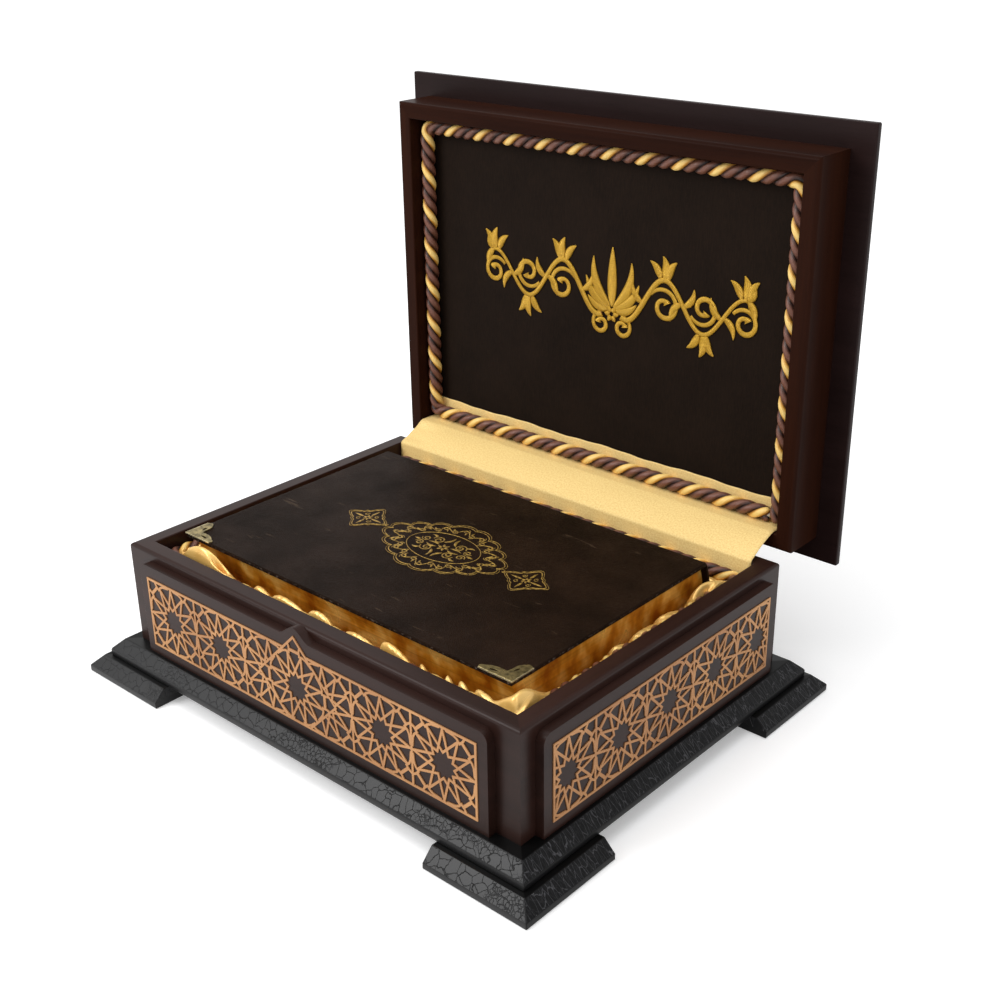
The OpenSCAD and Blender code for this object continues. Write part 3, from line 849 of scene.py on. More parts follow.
@dataclass(frozen=True)
class Plane:
    """A plane with two directions in it and one out of it, which ornament and rope are laid on."""

    origin: tuple[float, float, float]
    first: tuple[float, float, float]
    second: tuple[float, float, float]

    @property
    def out(self) -> np.ndarray:
        """Direction out of the plane: first cross second."""
        return np.cross(self.first, self.second)

    def lift(self, flat: np.ndarray, height: np.ndarray | float = 0.0) -> np.ndarray:
        """Sets flat points on the plane.

        Args:
            flat: Points in the plane's two directions.
            height: Distance out of the plane, one number or one for each point.

        Returns:
            The points in space.
        """
        across = flat[..., :1] * np.asarray(self.first)
        above = flat[..., 1:] * np.asarray(self.second)
        return np.asarray(self.origin) + across + above + np.asarray(height, float)[..., None] * self.out


class Piece:
    """A new object made of surfaces, with its finishes, its body and the nodes that it stands for."""

    def __init__(self, name: str, body: str, slot: str, *finishes: Finish) -> None:
        """Starts an empty piece.

        Args:
            name: Name of the object.
            body: Body that it rides on.
            slot: Material slot of the record that its finish belongs to. It is not used.
            *finishes: Finishes, in the order of the numbers that its surfaces use.
        """
        self.name = name
        self.body = body
        self.slot = slot
        self.finishes = finishes
        self.surfaces: list[Surface] = []

    def add(self, *surfaces: Surface) -> "Piece":
        """Adds surfaces and gives the piece back."""
        self.surfaces.extend(surfaces)
        return self

    def mesh(self) -> bpy.types.Mesh:
        """Writes the surfaces into one smooth mesh, in metres, with UVs and finish numbers.

        Returns:
            The mesh.
        """
        starts = np.cumsum([0] + [len(s.points) for s in self.surfaces])
        points = np.concatenate([s.points for s in self.surfaces]) * MM
        faces, uv, marks = [], [], []
        for start, surface in zip(starts, self.surfaces):
            for group, pairs in zip(surface.faces, surface.uv):
                faces.extend((group + start).tolist())
                uv.append(pairs.reshape(-1, 2))
                marks.append(np.full(len(group), surface.finish))
        made = bpy.data.meshes.new(self.name)
        made.from_pydata(points.tolist(), [], faces)
        made.uv_layers.new(name="UVMap").data.foreach_set("uv", np.concatenate(uv).ravel())
        made.polygons.foreach_set("material_index", np.concatenate(marks).astype(np.int32))
        made.polygons.foreach_set("use_smooth", np.ones(len(made.polygons), bool))
        for finish in self.finishes:
            made.materials.append(finish.material())
        made.update()
        return made

    def write(self, *nodes: str, ride: bool = True) -> bpy.types.Object:
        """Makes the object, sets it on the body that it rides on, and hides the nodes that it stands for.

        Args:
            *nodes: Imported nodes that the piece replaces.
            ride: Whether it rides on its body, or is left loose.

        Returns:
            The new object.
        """
        made = bpy.data.objects.new(self.name, self.mesh())
        bpy.context.scene.collection.objects.link(made)
        if ride:
            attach(made, self.body)
        if nodes:
            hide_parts(*nodes)
        LOG.info("%s: %d faces on %s", self.name, len(made.data.polygons), self.body)
        return made


@dataclass
class Dresser:
    """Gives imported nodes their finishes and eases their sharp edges."""

    nodes: dict
    ease: float = 0.35
    sharp: float = 35.0

    def dress(self, finish: Finish, *names: str, ease: float | None = None) -> None:
        """Puts a finish on nodes, and rounds their edges by a bevel over merged corners.

        Args:
            finish: The finish.
            *names: Nodes to dress.
            ease: Width of the eased edge if it isn't the usual one, and 0 to leave the edges sharp.
        """
        width = self.ease if ease is None else ease
        for name in names:
            node = self.nodes[name]
            node.data.materials.clear()
            node.data.materials.append(finish.material())
            if width:
                weld = node.modifiers.new("merged_corners", "WELD")
                weld.merge_threshold = SAME_PLACE
                bevel = node.modifiers.new("eased_edges", "BEVEL")
                bevel.width = width * MM
                bevel.segments = 2
                bevel.limit_method = "ANGLE"
                bevel.angle_limit = np.radians(self.sharp)
                level = node.modifiers.new("level_faces", "WEIGHTED_NORMAL")
                level.mode = "FACE_AREA_WITH_ANGLE"
                level.weight = 100
            LOG.info("%s: %s", name, finish.title)


# Rope


@dataclass
class RopeTrim:
    """Three twisted strands laid round a rectangle with bent corners.

    A strand's middle circles the rope's middle line while it moves along: middle + lay radius times the
    direction at an angle that grows by a full turn in each lay length. The strand is a tube round that line.
    """

    name: str
    node: str
    body: str
    plane: Plane
    half: tuple[float, float]
    bend: float
    strand_r: float
    lay_r: float
    cut: float | None = None
    lay_length: float = 27.7
    slack: float = 1.25
    tip: float = 2.2
    blunt: float = 0.15
    sides: int = 12
    steps_per_turn: int = 22
    colours: tuple[Strand, ...] = (Strand.GOLD, Strand.BROWN, Strand.BROWN)

    def outline(self) -> np.ndarray:
        """Middle line in the plane: straight sides and quarter circles at the corners.

        Returns:
            Points of the line. A closed line runs anticlockwise and ends on its first point. A cut one runs
            the other way, from the right end of the lower side to the foot of the right side.
        """
        a, b = self.half
        quarter = np.linspace(0, np.pi / 2, 17)
        corners = [(1, 1), (-1, 1), (-1, -1), (1, -1)]
        arcs = []
        for k, (sx, sy) in enumerate(corners):
            angle = quarter + k * np.pi / 2
            centre = np.array([sx * (a - self.bend), sy * (b - self.bend)])
            arcs.append(centre + self.bend * circle(angle))
        if self.cut is None:
            return np.concatenate([*arcs, arcs[0][:1]])
        start = np.array([[self.cut, -b]])
        foot = np.array([[a, -b - 0.6 * self.bend]])
        backwards = [arc[::-1] for arc in (arcs[2], arcs[1], arcs[0])]
        return np.concatenate([start, *backwards, foot])

    def strand(self, number: int) -> Surface:
        """Works out one strand. At a cut its radius falls to a blunt tip, by a quarter circle.

        Args:
            number: Which strand, from 0.

        Returns:
            The strand's tube, closed on itself or with rounded ends.
        """
        closed = self.cut is None
        path = self.outline()
        total = lengths(path)[-1]
        turns = round(total / self.lay_length)
        line = even(path, turns * self.steps_per_turn + 1)
        line = line[:-1] if closed else line
        count = len(line)
        share = np.arange(count) / (turns * self.steps_per_turn)
        side = -left_of(heading(line, closed))
        angle = TURN * (turns * share + number / len(self.colours))
        aside = np.cos(angle)[:, None] * self.lay_r
        middle = self.plane.lift(line + aside * side, np.sin(angle) * self.lay_r)
        along = heading(middle, closed)
        outward = self.plane.lift(np.cos(angle)[:, None] * side, np.sin(angle))
        outward = outward - np.asarray(self.plane.origin)
        outward = unit(outward - np.sum(outward * along, 1, keepdims=True) * along)
        across = np.cross(along, outward)
        radius = np.full(count, self.strand_r)
        if not closed:
            gap = np.minimum(share, 1 - share) * total
            inset = np.clip((gap + self.blunt) / self.tip, 0, 1)
            radius = radius * np.sqrt(np.clip(1 - (1 - inset) ** 2, 0, 1))
        phi = TURN * np.arange(self.sides) / self.sides
        ring = np.cos(phi)[None, :, None] * outward[:, None] + np.sin(phi)[None, :, None] * across[:, None]
        points = middle[:, None] + radius[:, None, None] * ring
        uv = grid(np.arange(count + closed) / count * total * self.slack,
                  np.arange(self.sides + 1) / self.sides * TURN * self.strand_r)
        kind = list(dict.fromkeys(self.colours)).index(self.colours[number])
        return lattice(points, uv, (closed, True), True, kind, caps=not closed)

    def core(self) -> Surface:
        """The cut rope's white core: a profile of steps and radii turned into a low dome over a short stub.

        Returns:
            The closed core.
        """
        rise = np.array([-4, -2, -0.6, 0.2, 0.7, 0.85])
        radius = np.array([1.0, 1.9, 2.15, 1.8, 1.0, 0.15]) * self.strand_r / 2.6
        round_points = circle(TURN * np.arange(16) / 16) * radius[:, None, None]
        along = np.broadcast_to(self.cut + rise[:, None], round_points.shape[:2])
        flat = np.stack([along, round_points[..., 0] - self.half[1]], -1)
        points = self.plane.lift(flat, round_points[..., 1])
        return lattice(points, np.zeros((len(rise), 17, 2)), (False, True), True, finish=2, caps=True)

    def build(self) -> None:
        """Makes the rope and hides the plain solid."""
        finishes = [RopeYarn(colour) for colour in dict.fromkeys(self.colours)]
        piece = Piece(self.name, self.body, "twisted_rope", *finishes, CottonCore())
        piece.add(*(self.strand(k) for k in range(len(self.colours))))
        if self.cut is not None:
            piece.add(self.core())
        piece.write(self.node)


# Cloth


def spline_weights(controls: int, count: int) -> np.ndarray:
    """Weights of a clamped cubic B-spline, by the usual recursion over its knots.

    Args:
        controls: Number of control points.
        count: Number of points along the curve.

    Returns:
        One row of weights for each point.
    """
    knots = np.concatenate([np.zeros(3), np.linspace(0, 1, controls - 2), np.ones(3)])
    at = np.linspace(0, 1 - 1e-9, count)[:, None]
    weights = ((at >= knots[:-1]) & (at < knots[1:])).astype(float)
    for degree in range(1, 4):
        rise = knots[degree:-1] - knots[:-degree - 1]
        fall = knots[degree + 1:] - knots[1:-degree]
        left = (at - knots[:-degree - 1]) / np.where(rise == 0, 1, rise) * weights[:, :-1]
        right = (knots[degree + 1:] - at) / np.where(fall == 0, 1, fall) * weights[:, 1:]
        weights = np.where(rise == 0, 0, left) + np.where(fall == 0, 0, right)
    return weights


def area_of(points: np.ndarray, closed: bool = False) -> float:
    """Area of a grid of points in square millimetres: half the cross product of each face's diagonals.

    Args:
        points: Grid of points.
        closed: Whether the rows close on themselves.

    Returns:
        The area.
    """
    rows = np.concatenate([points, points[:1]]) if closed else points
    first = rows[1:, 1:] - rows[:-1, :-1]
    second = rows[:-1, 1:] - rows[1:, :-1]
    return float(np.linalg.norm(np.cross(first, second), axis=-1).sum() / 2)


@dataclass
class SatinSurround:
    """One strip of satin, gathered and tucked between the walls and the book.

    At each station round the book a curve runs from the rope over a crest and down beside the book. The
    crest rises in puffs, each steep at its start and slow at its end. Where the strip isn't placed puff by
    puff, the sine of an uneven phase, its sign dropped, gathers it. Tufts stand at the corners, where the
    cloth is smooth, and hollows sink it between their folds.
    """

    wall: tuple[float, float, float, float] = (-157.4, 157.4, -127.3, 97.6)
    book: tuple[float, float, float, float] = (-142.7, 142.7, -115.0, 76.3)
    stations: int = 1500
    across: int = 34
    pitch: float = 15.6
    gathers: float = 4.5
    crest: float = 85.4
    rope_side: float = 11.3
    rope_foot: float = 79.0
    bed: float = 57.0
    book_gap: float = 0.4
    least: float = 2.5
    puffs: tuple[tuple[float, float, float], ...] = (
        (87, 104, 5.5), (105, 135, 6), (138, 167, 7), (174, 202, 4.5), (206, 237, 8.5), (241, 248, 5),
        (259, 267, 5.5), (270, 283, 6), (286, 299, 5), (411, 425, 3.2), (431, 461, 3.2), (459, 484, 4.2))
    smooth: tuple[tuple[int, float, float], ...] = ((0, 26, 30), (1, 22, 5), (2, 16, -24))
    tufts: tuple[tuple[float, int, float, float], ...] = ((15, 0, 25, 32), (14, 1, 19, 5), (8.5, 2, 15, -26))
    hollows: tuple[tuple[float, float, float, float], ...] = (
        (12, 0.32, 9, 5), (50, 0.34, 7, 7), (316, 0.2, 7, 9), (507, 0.3, 7, 8))

    def corners(self, box: tuple[float, float, float, float]) -> np.ndarray:
        """Corners of a rectangle, from the front left, anticlockwise and back to the first."""
        x0, x1, y0, y1 = box
        return np.array([[x0, y0], [x1, y0], [x1, y1], [x0, y1], [x0, y0]])

    def rim(self, box: tuple[float, float, float, float], at: np.ndarray, soften: int) -> np.ndarray:
        """Points round a rectangle whose corners are softened by averaging neighbours.

        Args:
            box: The rectangle.
            at: Place of each station, a whole number at each corner.
            soften: Number of neighbours on each side.

        Returns:
            One point for each station.
        """
        corner = self.corners(box)
        line = np.stack([np.interp(at, np.arange(5), corner[:, k]) for k in range(2)], 1)
        window = np.arange(-soften, soften + 1)
        return np.mean([np.roll(line, k, 0) for k in window], axis=0)

    def bell(self, s: np.ndarray, corner: int, wide: float, beyond: float = 0.0) -> np.ndarray:
        """A bell along the strip: e to minus the square of the distance, which wraps round the ends.

        Args:
            s: Distance of each station along the strip.
            corner: Number of the corner that it is near.
            wide: Its width.
            beyond: How far beyond the corner it is.

        Returns:
            Its height at each station, 1 in its middle.
        """
        reach = lengths(self.corners(self.wall))
        middle = reach[corner] + beyond
        gap = (s - middle + reach[-1] / 2) % reach[-1] - reach[-1] / 2
        return np.exp(-(gap / wide) ** 2)

    def rise(self, s: np.ndarray, phase: np.ndarray, loose: np.ndarray) -> np.ndarray:
        """Height of the gathers and puffs, the higher of the two at each station.

        Args:
            s: Distance of each station along the strip.
            phase: Angle of the gathers.
            loose: Share of the gathers that shows, 0 where the strip is placed puff by puff.

        Returns:
            The height at each station.
        """
        made = self.gathers * np.abs(np.sin(phase)) ** 0.8 * loose
        for first, last, tall in self.puffs:
            share = np.clip((s - first) / (last - first), 0, 1)
            made = np.maximum(made, tall * np.sin(np.pi * share ** 0.6) ** 0.8)
        return made

    def strip(self) -> np.ndarray:
        """Works out the strip: at each station a spline over control points from the rope to the bed.

        Returns:
            Grid of points, station by station.
        """
        reach = lengths(self.corners(self.wall))
        s = np.arange(self.stations) / self.stations * reach[-1]
        at = np.interp(s, reach, np.arange(5))
        outer = self.rim(self.wall, at, 4)
        inner = self.rim(self.book, at, 5)
        room = np.linalg.norm(inner - outer, axis=1)
        into = (inner - outer) / room[:, None]
        phase = np.pi * (s / self.pitch + 0.42 * np.sin(TURN * s / 97 + 1) + 0.3 * np.sin(TURN * s / 41.3))
        back = smooth_step(at, 1.93, 2.06) * smooth_step(-at, -3.04, -2.95)
        left = smooth_step(at, 2.98, 3.02)
        rise = self.rise(s, phase, 1 - (1 - back) * (1 - left))
        calm = np.clip(sum(self.bell(s, *place) for place in self.smooth), 0, 1)
        puff = np.clip(rise / 6 + calm, 0, 1)
        crest = self.crest + rise - 6.5 * back - 3 * left
        for tall, *place in self.tufts:
            crest = crest + tall * self.bell(s, *place)
        cover = np.clip(0.75 * (1 - back) - 0.9 * self.bell(s, 0, 13, -2) + 0.5 * self.bell(s, 1, 16), 0, 1.2)
        start = self.rope_side - 7.2 * cover
        low = self.rope_foot + 8.5 * np.clip(cover, 0, 1)
        end = room - self.book_gap
        wide = np.maximum(end - start, self.least)
        lean = 2.2 * np.sin(phase * 0.5 + 0.8) * (1 - calm)
        controls = [
            (start, low, 0), (start - 0.8 * puff, 0.5 * (low + crest), 0.2),
            (start + 0.18 * wide, crest + 0.8, 0.6), (start + 0.5 * wide, crest + 1.2, 1),
            (start + 0.8 * wide, crest - 1.5 - 2.5 * (1 - puff), 0.9), (end, crest - 7, 0.6),
            (end, crest - 16, 0.3), (end, np.full(len(s), self.bed), 0)]
        depths, heights, slips = zip(*controls)
        weights = spline_weights(len(controls), self.across)
        slip = weights @ np.array(slips)
        crease = np.abs(np.sin(np.pi * s / 8.3 + 1.9 * np.sin(TURN * s / 37))) - 0.6
        height = weights @ np.stack(heights)
        height = height + 0.35 * crease * (1 - 0.8 * calm) * np.sin(np.pi * slip / 1.3)[:, None]
        run = np.linspace(0, 1, self.across)[:, None]
        for middle, share, deep, long in self.hollows:
            height = height - deep * np.exp(-((s - middle) / long) ** 2 - ((run - share) / 0.11) ** 2)
        sideways = (slip[:, None] * lean)[..., None] * heading(outer, True)
        flat = outer + (weights @ np.stack(depths))[..., None] * into + sideways
        return np.concatenate([flat, height[..., None]], axis=2).transpose(1, 0, 2)

    def build(self) -> None:
        """Makes the strip and declares its flat size: its mean width, and its area over that width."""
        points = self.strip()
        width = float(np.linalg.norm(np.diff(points, axis=1), axis=2).sum(1).mean())
        cut = area_of(points, True) / width
        uv = grid(np.arange(self.stations + 1) / self.stations * cut, np.linspace(0, width, self.across))
        piece = Piece("satin_strip", "case", "gold_satin", GoldSatin())
        made = piece.add(lattice(points, uv, (True, False))).write("satin_surround")
        LOG.info("satin strip: %.0f by %.0f mm flat", width, cut)


@dataclass
class HingeFlap:
    """Cloth flap over the hinges: glued up the lining, led over both rims and hung inside the case.

    Its section is a path in depth and height. Along its width the free parts wave a little, by sines.
    """

    half: float = 156.8
    thick: float = 0.4
    bow: float = 1.2
    columns: int = 140
    rows: int = 72
    route: tuple[tuple[float, float], ...] = (
        (139.0, 123.2), (139.0, 117), (138.9, 108.9), (138.4, 108.5), (130, 108.5), (121.6, 108.6))
    drop: tuple[tuple[float, float], ...] = ((98.2, 97.3), (97.7, 96.6), (97.5, 92), (97.4, 80.5))

    def section(self) -> np.ndarray:
        """The flap's path in depth and height: the route, a slightly bowed span and the drop, at even steps.

        Returns:
            Points of the path.
        """
        share = np.linspace(0.06, 0.94, 12)[:, None]
        first, last = np.array(self.route[-1]), np.array(self.drop[0])
        span = first + (last - first) * share + self.bow * np.sin(np.pi * share) * np.array([-0.43, 0.9])
        return even(np.concatenate([np.array(self.route), span, np.array(self.drop)]), self.rows)

    def build(self) -> None:
        """Works out the flap, makes it, gives it thickness and declares its flat size."""
        path = self.section()
        run = lengths(path)
        x = np.linspace(-self.half, self.half, self.columns)[:, None]
        first_end = lengths(np.array(self.route))[-1]
        last_start = run[-1] - lengths(np.array(self.drop))[-1]
        led = smooth_step(run, last_start - 8, last_start)
        free = smooth_step(run, first_end + 1, first_end + 9) * (1 - led)
        hung = smooth_step(run, last_start + 2, run[-1])
        wave = 0.3 * np.sin(TURN * x / 83 + 0.6) + 0.15 * np.sin(TURN * x / 37)
        wave = wave + 2.2 * np.exp(-((x + 150) / 11) ** 2)
        ripple = 0.55 * np.sin(TURN * x / 29 + 1) * np.sin(TURN * x / 71)
        out = wave * free + (ripple - 0.5) * hung * 0.9
        edge = (run - run[0]) / run[-1]
        hem = (0.9 * np.sin(TURN * x / 61) + 0.5 * np.sin(TURN * x / 23 + 2)) * smooth_step(edge, 0.75, 1)
        rim = (0.5 * np.sin(TURN * x / 77 + 1) + 0.2 * np.sin(TURN * x / 23)) * smooth_step(1 - edge, 0.85, 1)
        place = path + out[..., None] * left_of(heading(path)) + (hem + rim)[..., None] * np.array([0, 1])
        points = np.concatenate([np.broadcast_to(x[..., None], (*place.shape[:2], 1)), place], axis=2)
        length = area_of(points) / (2 * self.half)
        piece = Piece("cloth_flap", "case", "gold_cloth", GoldCloth())
        made = piece.add(lattice(points, grid(x[:, 0], run), flip=True)).write("hinge_flap", ride=False)
        cloth = made.modifiers.new("cloth_thickness", "SOLIDIFY")
        cloth.thickness = self.thick * MM
        cloth.offset = 0
        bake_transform(made)
        LOG.info("cloth flap: %.0f by %.0f mm flat", 2 * self.half, length)


@dataclass
class Slab:
    """A soft-edged slab: a crowned face with rounded edges and a flat back, as one closed form.

    In the plane it is a rectangle. A ring of stations, a multiple of eight, follows its edge, and rings
    shrink from the edge to the middle over the face and again over the back. The face's height is the crown
    times one less the fourth power of the ring's share, and a low wave.
    """

    plane: Plane
    half: tuple[float, float]
    thick: float
    crown: float
    round: float
    wave: float
    stations: int = 160
    rings: int = 20
    pole: float = 0.01

    def surface(self) -> Surface:
        """Works out the slab.

        Returns:
            The closed surface.
        """
        square = circle(TURN * (np.arange(self.stations) + 0.5) / self.stations)
        square = square / np.abs(square).max(1, keepdims=True)
        share = np.linspace(self.pole, 1, self.rings)
        bow = np.linspace(0, np.pi / 2, 5)[1:]
        size = np.asarray(self.half)
        inside = size - self.round
        face = square[None] * inside * share[:, None, None]
        face_z = self.crown * (1 - share[:, None] ** 4) * np.ones(self.stations)
        x, y = face[..., 0], face[..., 1]
        face_z = face_z + self.wave * np.sin(x / 17) * np.sin(y / 13 + x / 41)
        edge = square[None] * (inside + self.round * np.sin(bow)[:, None, None])
        edge_z = -self.round * (1 - np.cos(bow))[:, None] * np.ones(self.stations)
        back = square[None] * size * np.array([1, self.pole])[:, None, None]
        flat = np.concatenate([face, edge, back])
        height = np.concatenate([face_z, edge_z, np.full((2, self.stations), -self.thick)])
        points = self.plane.lift(flat, height)
        uv = np.concatenate([flat, flat[:, :1]], axis=1)
        return lattice(points, uv, (False, True), caps=True)


# Ornament


@dataclass
class Ornament:
    """Raised strokes on a plane. A stroke is a path with a width at each point and a low rounded section."""

    plane: Plane
    rise: float
    strokes: list[tuple[np.ndarray, np.ndarray]] = field(default_factory=list)

    def line(self, path: np.ndarray, width: np.ndarray | float) -> None:
        """Adds a stroke along a path.

        Args:
            path: Points in the plane.
            width: Width, one number or one for each point.
        """
        self.strokes.append((path, np.broadcast_to(np.asarray(width, float), len(path)).copy()))

    def leaf(self, base: Sequence[float], tip: Sequence[float], width: float, bow: float = 0.0) -> None:
        """Adds a bowed leaf: a curve from base to tip, wide below its middle and fine at both ends.

        Args:
            base: Where it starts.
            tip: Where it ends.
            width: Its greatest width.
            bow: How far it bows to the left, as a share of its length.
        """
        t = np.linspace(0, 1, 18)[:, None]
        a, b = np.asarray(base, float), np.asarray(tip, float)
        run = b - a
        knee = (a + b) / 2 + bow * 2 * left_of(run)
        path = (1 - t) ** 2 * a + 2 * t * (1 - t) * knee + t ** 2 * b
        self.line(path, width * np.sin(np.pi * t[:, 0] ** 0.75) ** 0.85 + 0.12 * width)

    def scroll(self, middle: Sequence[float], outer: float, inner: float, start: float, turns: float,
               width: float) -> None:
        """Adds a spiral that ends in a bead: the radius falls from outer to inner as the angle grows.

        Args:
            middle: Its centre.
            outer: Radius at the start.
            inner: Radius at the end.
            start: Angle at the start, in radians.
            turns: Number of turns, negative for clockwise.
            width: Width of the stroke.
        """
        t = np.linspace(0, 1, max(16, int(36 * abs(turns))))
        angle = start + TURN * turns * t
        radius = outer + (inner - outer) * t ** 0.85
        path = np.asarray(middle) + radius[:, None] * circle(angle)
        swell = width * (0.75 + 0.35 * np.sin(np.pi * t)) + width * 1.1 * np.exp(-((1 - t) / 0.07) ** 2)
        self.line(path, swell)

    def rosette(self, middle: Sequence[float], radius: float, petals: int, width: float,
                turn: float = 0.0) -> None:
        """Adds petals round a point.

        Args:
            middle: The flower's centre.
            radius: Reach of the petals.
            petals: Number of petals.
            width: Width of a petal.
            turn: Angle of the first petal.
        """
        centre = np.asarray(middle, float)
        for k in range(petals):
            way = circle(turn + TURN * k / petals)
            self.leaf(centre + 0.22 * radius * way, centre + radius * way, width)

    def ring(self, path: np.ndarray, width: float) -> None:
        """Adds a closed line, which overlaps its own start by a step."""
        self.line(np.concatenate([path, path[:2]]), width)

    def surfaces(self, sides: int) -> list[Surface]:
        """Works out every stroke as a closed bar with a half-round top, sunk a little into the plane.

        Args:
            sides: Points over the rounded top.

        Returns:
            One surface for each stroke.
        """
        phi = np.linspace(0, np.pi, sides)
        made = []
        for path, width in self.strokes:
            reach = -np.cos(phi)[None] * width[:, None] / 2
            flat = path[:, None] + reach[..., None] * left_of(heading(path))[:, None]
            full = np.clip(width / max(width.max(), 1e-6), 0.25, 1)
            height = np.sin(phi)[None] * self.rise * full[:, None] - 0.08 * self.rise
            u = np.broadcast_to(lengths(path)[:, None], (len(path), sides + 1))
            v = np.broadcast_to(np.linspace(0, 1, sides + 1)[None], u.shape) * width[:, None]
            points = self.plane.lift(flat, height)
            made.append(lattice(points, np.stack([u, v], -1), (False, True), caps=True))
        return made


def bent(t: np.ndarray, half: Sequence[float], lobes: int = 1, depth: float = 0,
         power: float = 2) -> np.ndarray:
    """A lobed oval: its reach swells in rounded lobes, the sine of the lobe's angle without its sign.

    Args:
        t: Angles.
        half: Half sizes of the oval.
        lobes: Number of lobes.
        depth: Depth of the notches as a share of the size.
        power: 2 for an ellipse, less for an almond with pointed ends.

    Returns:
        Points of the oval.
    """
    swell = 1 - depth * (1 - np.abs(np.sin(lobes * t / 2)) ** 0.7)
    swell = swell * (np.abs(np.cos(t)) ** power + np.abs(np.sin(t)) ** power) ** (-1 / power)
    return swell[:, None] * (np.asarray(half) * circle(t))


@dataclass
class Embroidery:
    """Gold scrollwork worked on the lining: a palmette in the middle and a winding stem to each side.

    The stem is a cosine of distance. A scroll curls into each of its hollows, and leaves stand on its crests.
    """

    plane: Plane = Plane((11, 139.2, 236), RIGHT, UP)
    rise: float = 1.1
    wave: float = 62.0
    phase: float = 12.0
    swing: float = 17.0
    length: float = 92.0
    stem_ends: tuple[float, float] = (8.0, 106.0)
    palmette: tuple[tuple[float, float], ...] = ((0, 44), (0.42, 39), (-0.42, 39), (0.8, 31), (-0.8, 31),
                                                 (1.2, 22), (-1.2, 22))
    crest_leaves: tuple[tuple[float, float, float], ...] = ((-12, 11, 5.2), (-2, 15.5, 6.2), (9, 13, 5.6))
    slope_leaves: tuple[tuple[float, float], ...] = ((-17, -9), (15, 8))

    def half_band(self, work: Ornament, way: int) -> None:
        """Adds the stem, scrolls and leaves to one side.

        Args:
            work: Ornament to add to.
            way: 1 for the right side, -1 for the left.
        """
        side = np.array([way, 1])
        first, last = self.stem_ends
        x = np.linspace(first, last, 100)
        stem = np.stack([x, self.stem(x)], 1)
        work.line(stem * side, 4.4 - 1.6 * (x - first) / (last - first))
        for k in range(3):
            up = 1 if k % 2 == 0 else -1
            at = self.phase + (k + 1) * self.wave / 2
            start = np.pi - 0.55 * up if way > 0 else 0.55 * up
            work.scroll(np.array([at, -2.0 * up]) * side, 13.0 - 1.2 * k, 3.0, start, -1.3 * up * way, 3.4)
            crest = np.array([at, float(self.stem(at))])
            for lean, tall, wide in self.crest_leaves:
                base = crest + [0.3 * lean, 0]
                tip = crest + [lean, up * tall]
                work.leaf(base * side, tip * side, wide, 0.14 * up * way * np.sign(lean))
            for slope, lean in self.slope_leaves[:1 if k == 2 else 2]:
                base = np.array([at + slope, float(self.stem(at + slope))])
                tip = base + [lean, 13 * up]
                work.leaf(base * side, tip * side, 4.6, -0.18 * up * way * np.sign(lean))
        tail = stem[-1]
        work.leaf(tail * side, (tail + [6, -13]) * side, 5, 0.15 * way)
        work.leaf(tail * side, (tail + [5, 10]) * side, 5, -0.15 * way)

    def stem(self, x: np.ndarray | float) -> np.ndarray:
        """Height of the stem at a distance from the middle: a cosine that shrinks towards the end."""
        run = np.asarray(x) - self.phase
        return -self.swing * np.cos(TURN * run / self.wave) * (1 - 0.2 * run / self.length)

    def build(self) -> None:
        """Makes the embroidery."""
        work = Ornament(self.plane, self.rise)
        foot = np.array([0, -13])
        for angle, tall in self.palmette:
            way = np.array([np.sin(angle), np.cos(angle)])
            work.leaf(foot + 3 * way, foot + tall * way, 7.2 - 1.4 * abs(angle), -0.14 * np.sign(angle))
        for way in (1, -1):
            work.scroll((9 * way, -23), 8, 2.4, np.pi / 2, -1.2 * way, 3.2)
            self.half_band(work, way)
        work.rosette((0, -15), 6, 6, 3.4)
        piece = Piece("gold_embroidery", "lid", "dark_velvet", GoldThread())
        piece.add(*work.surfaces(6)).write()


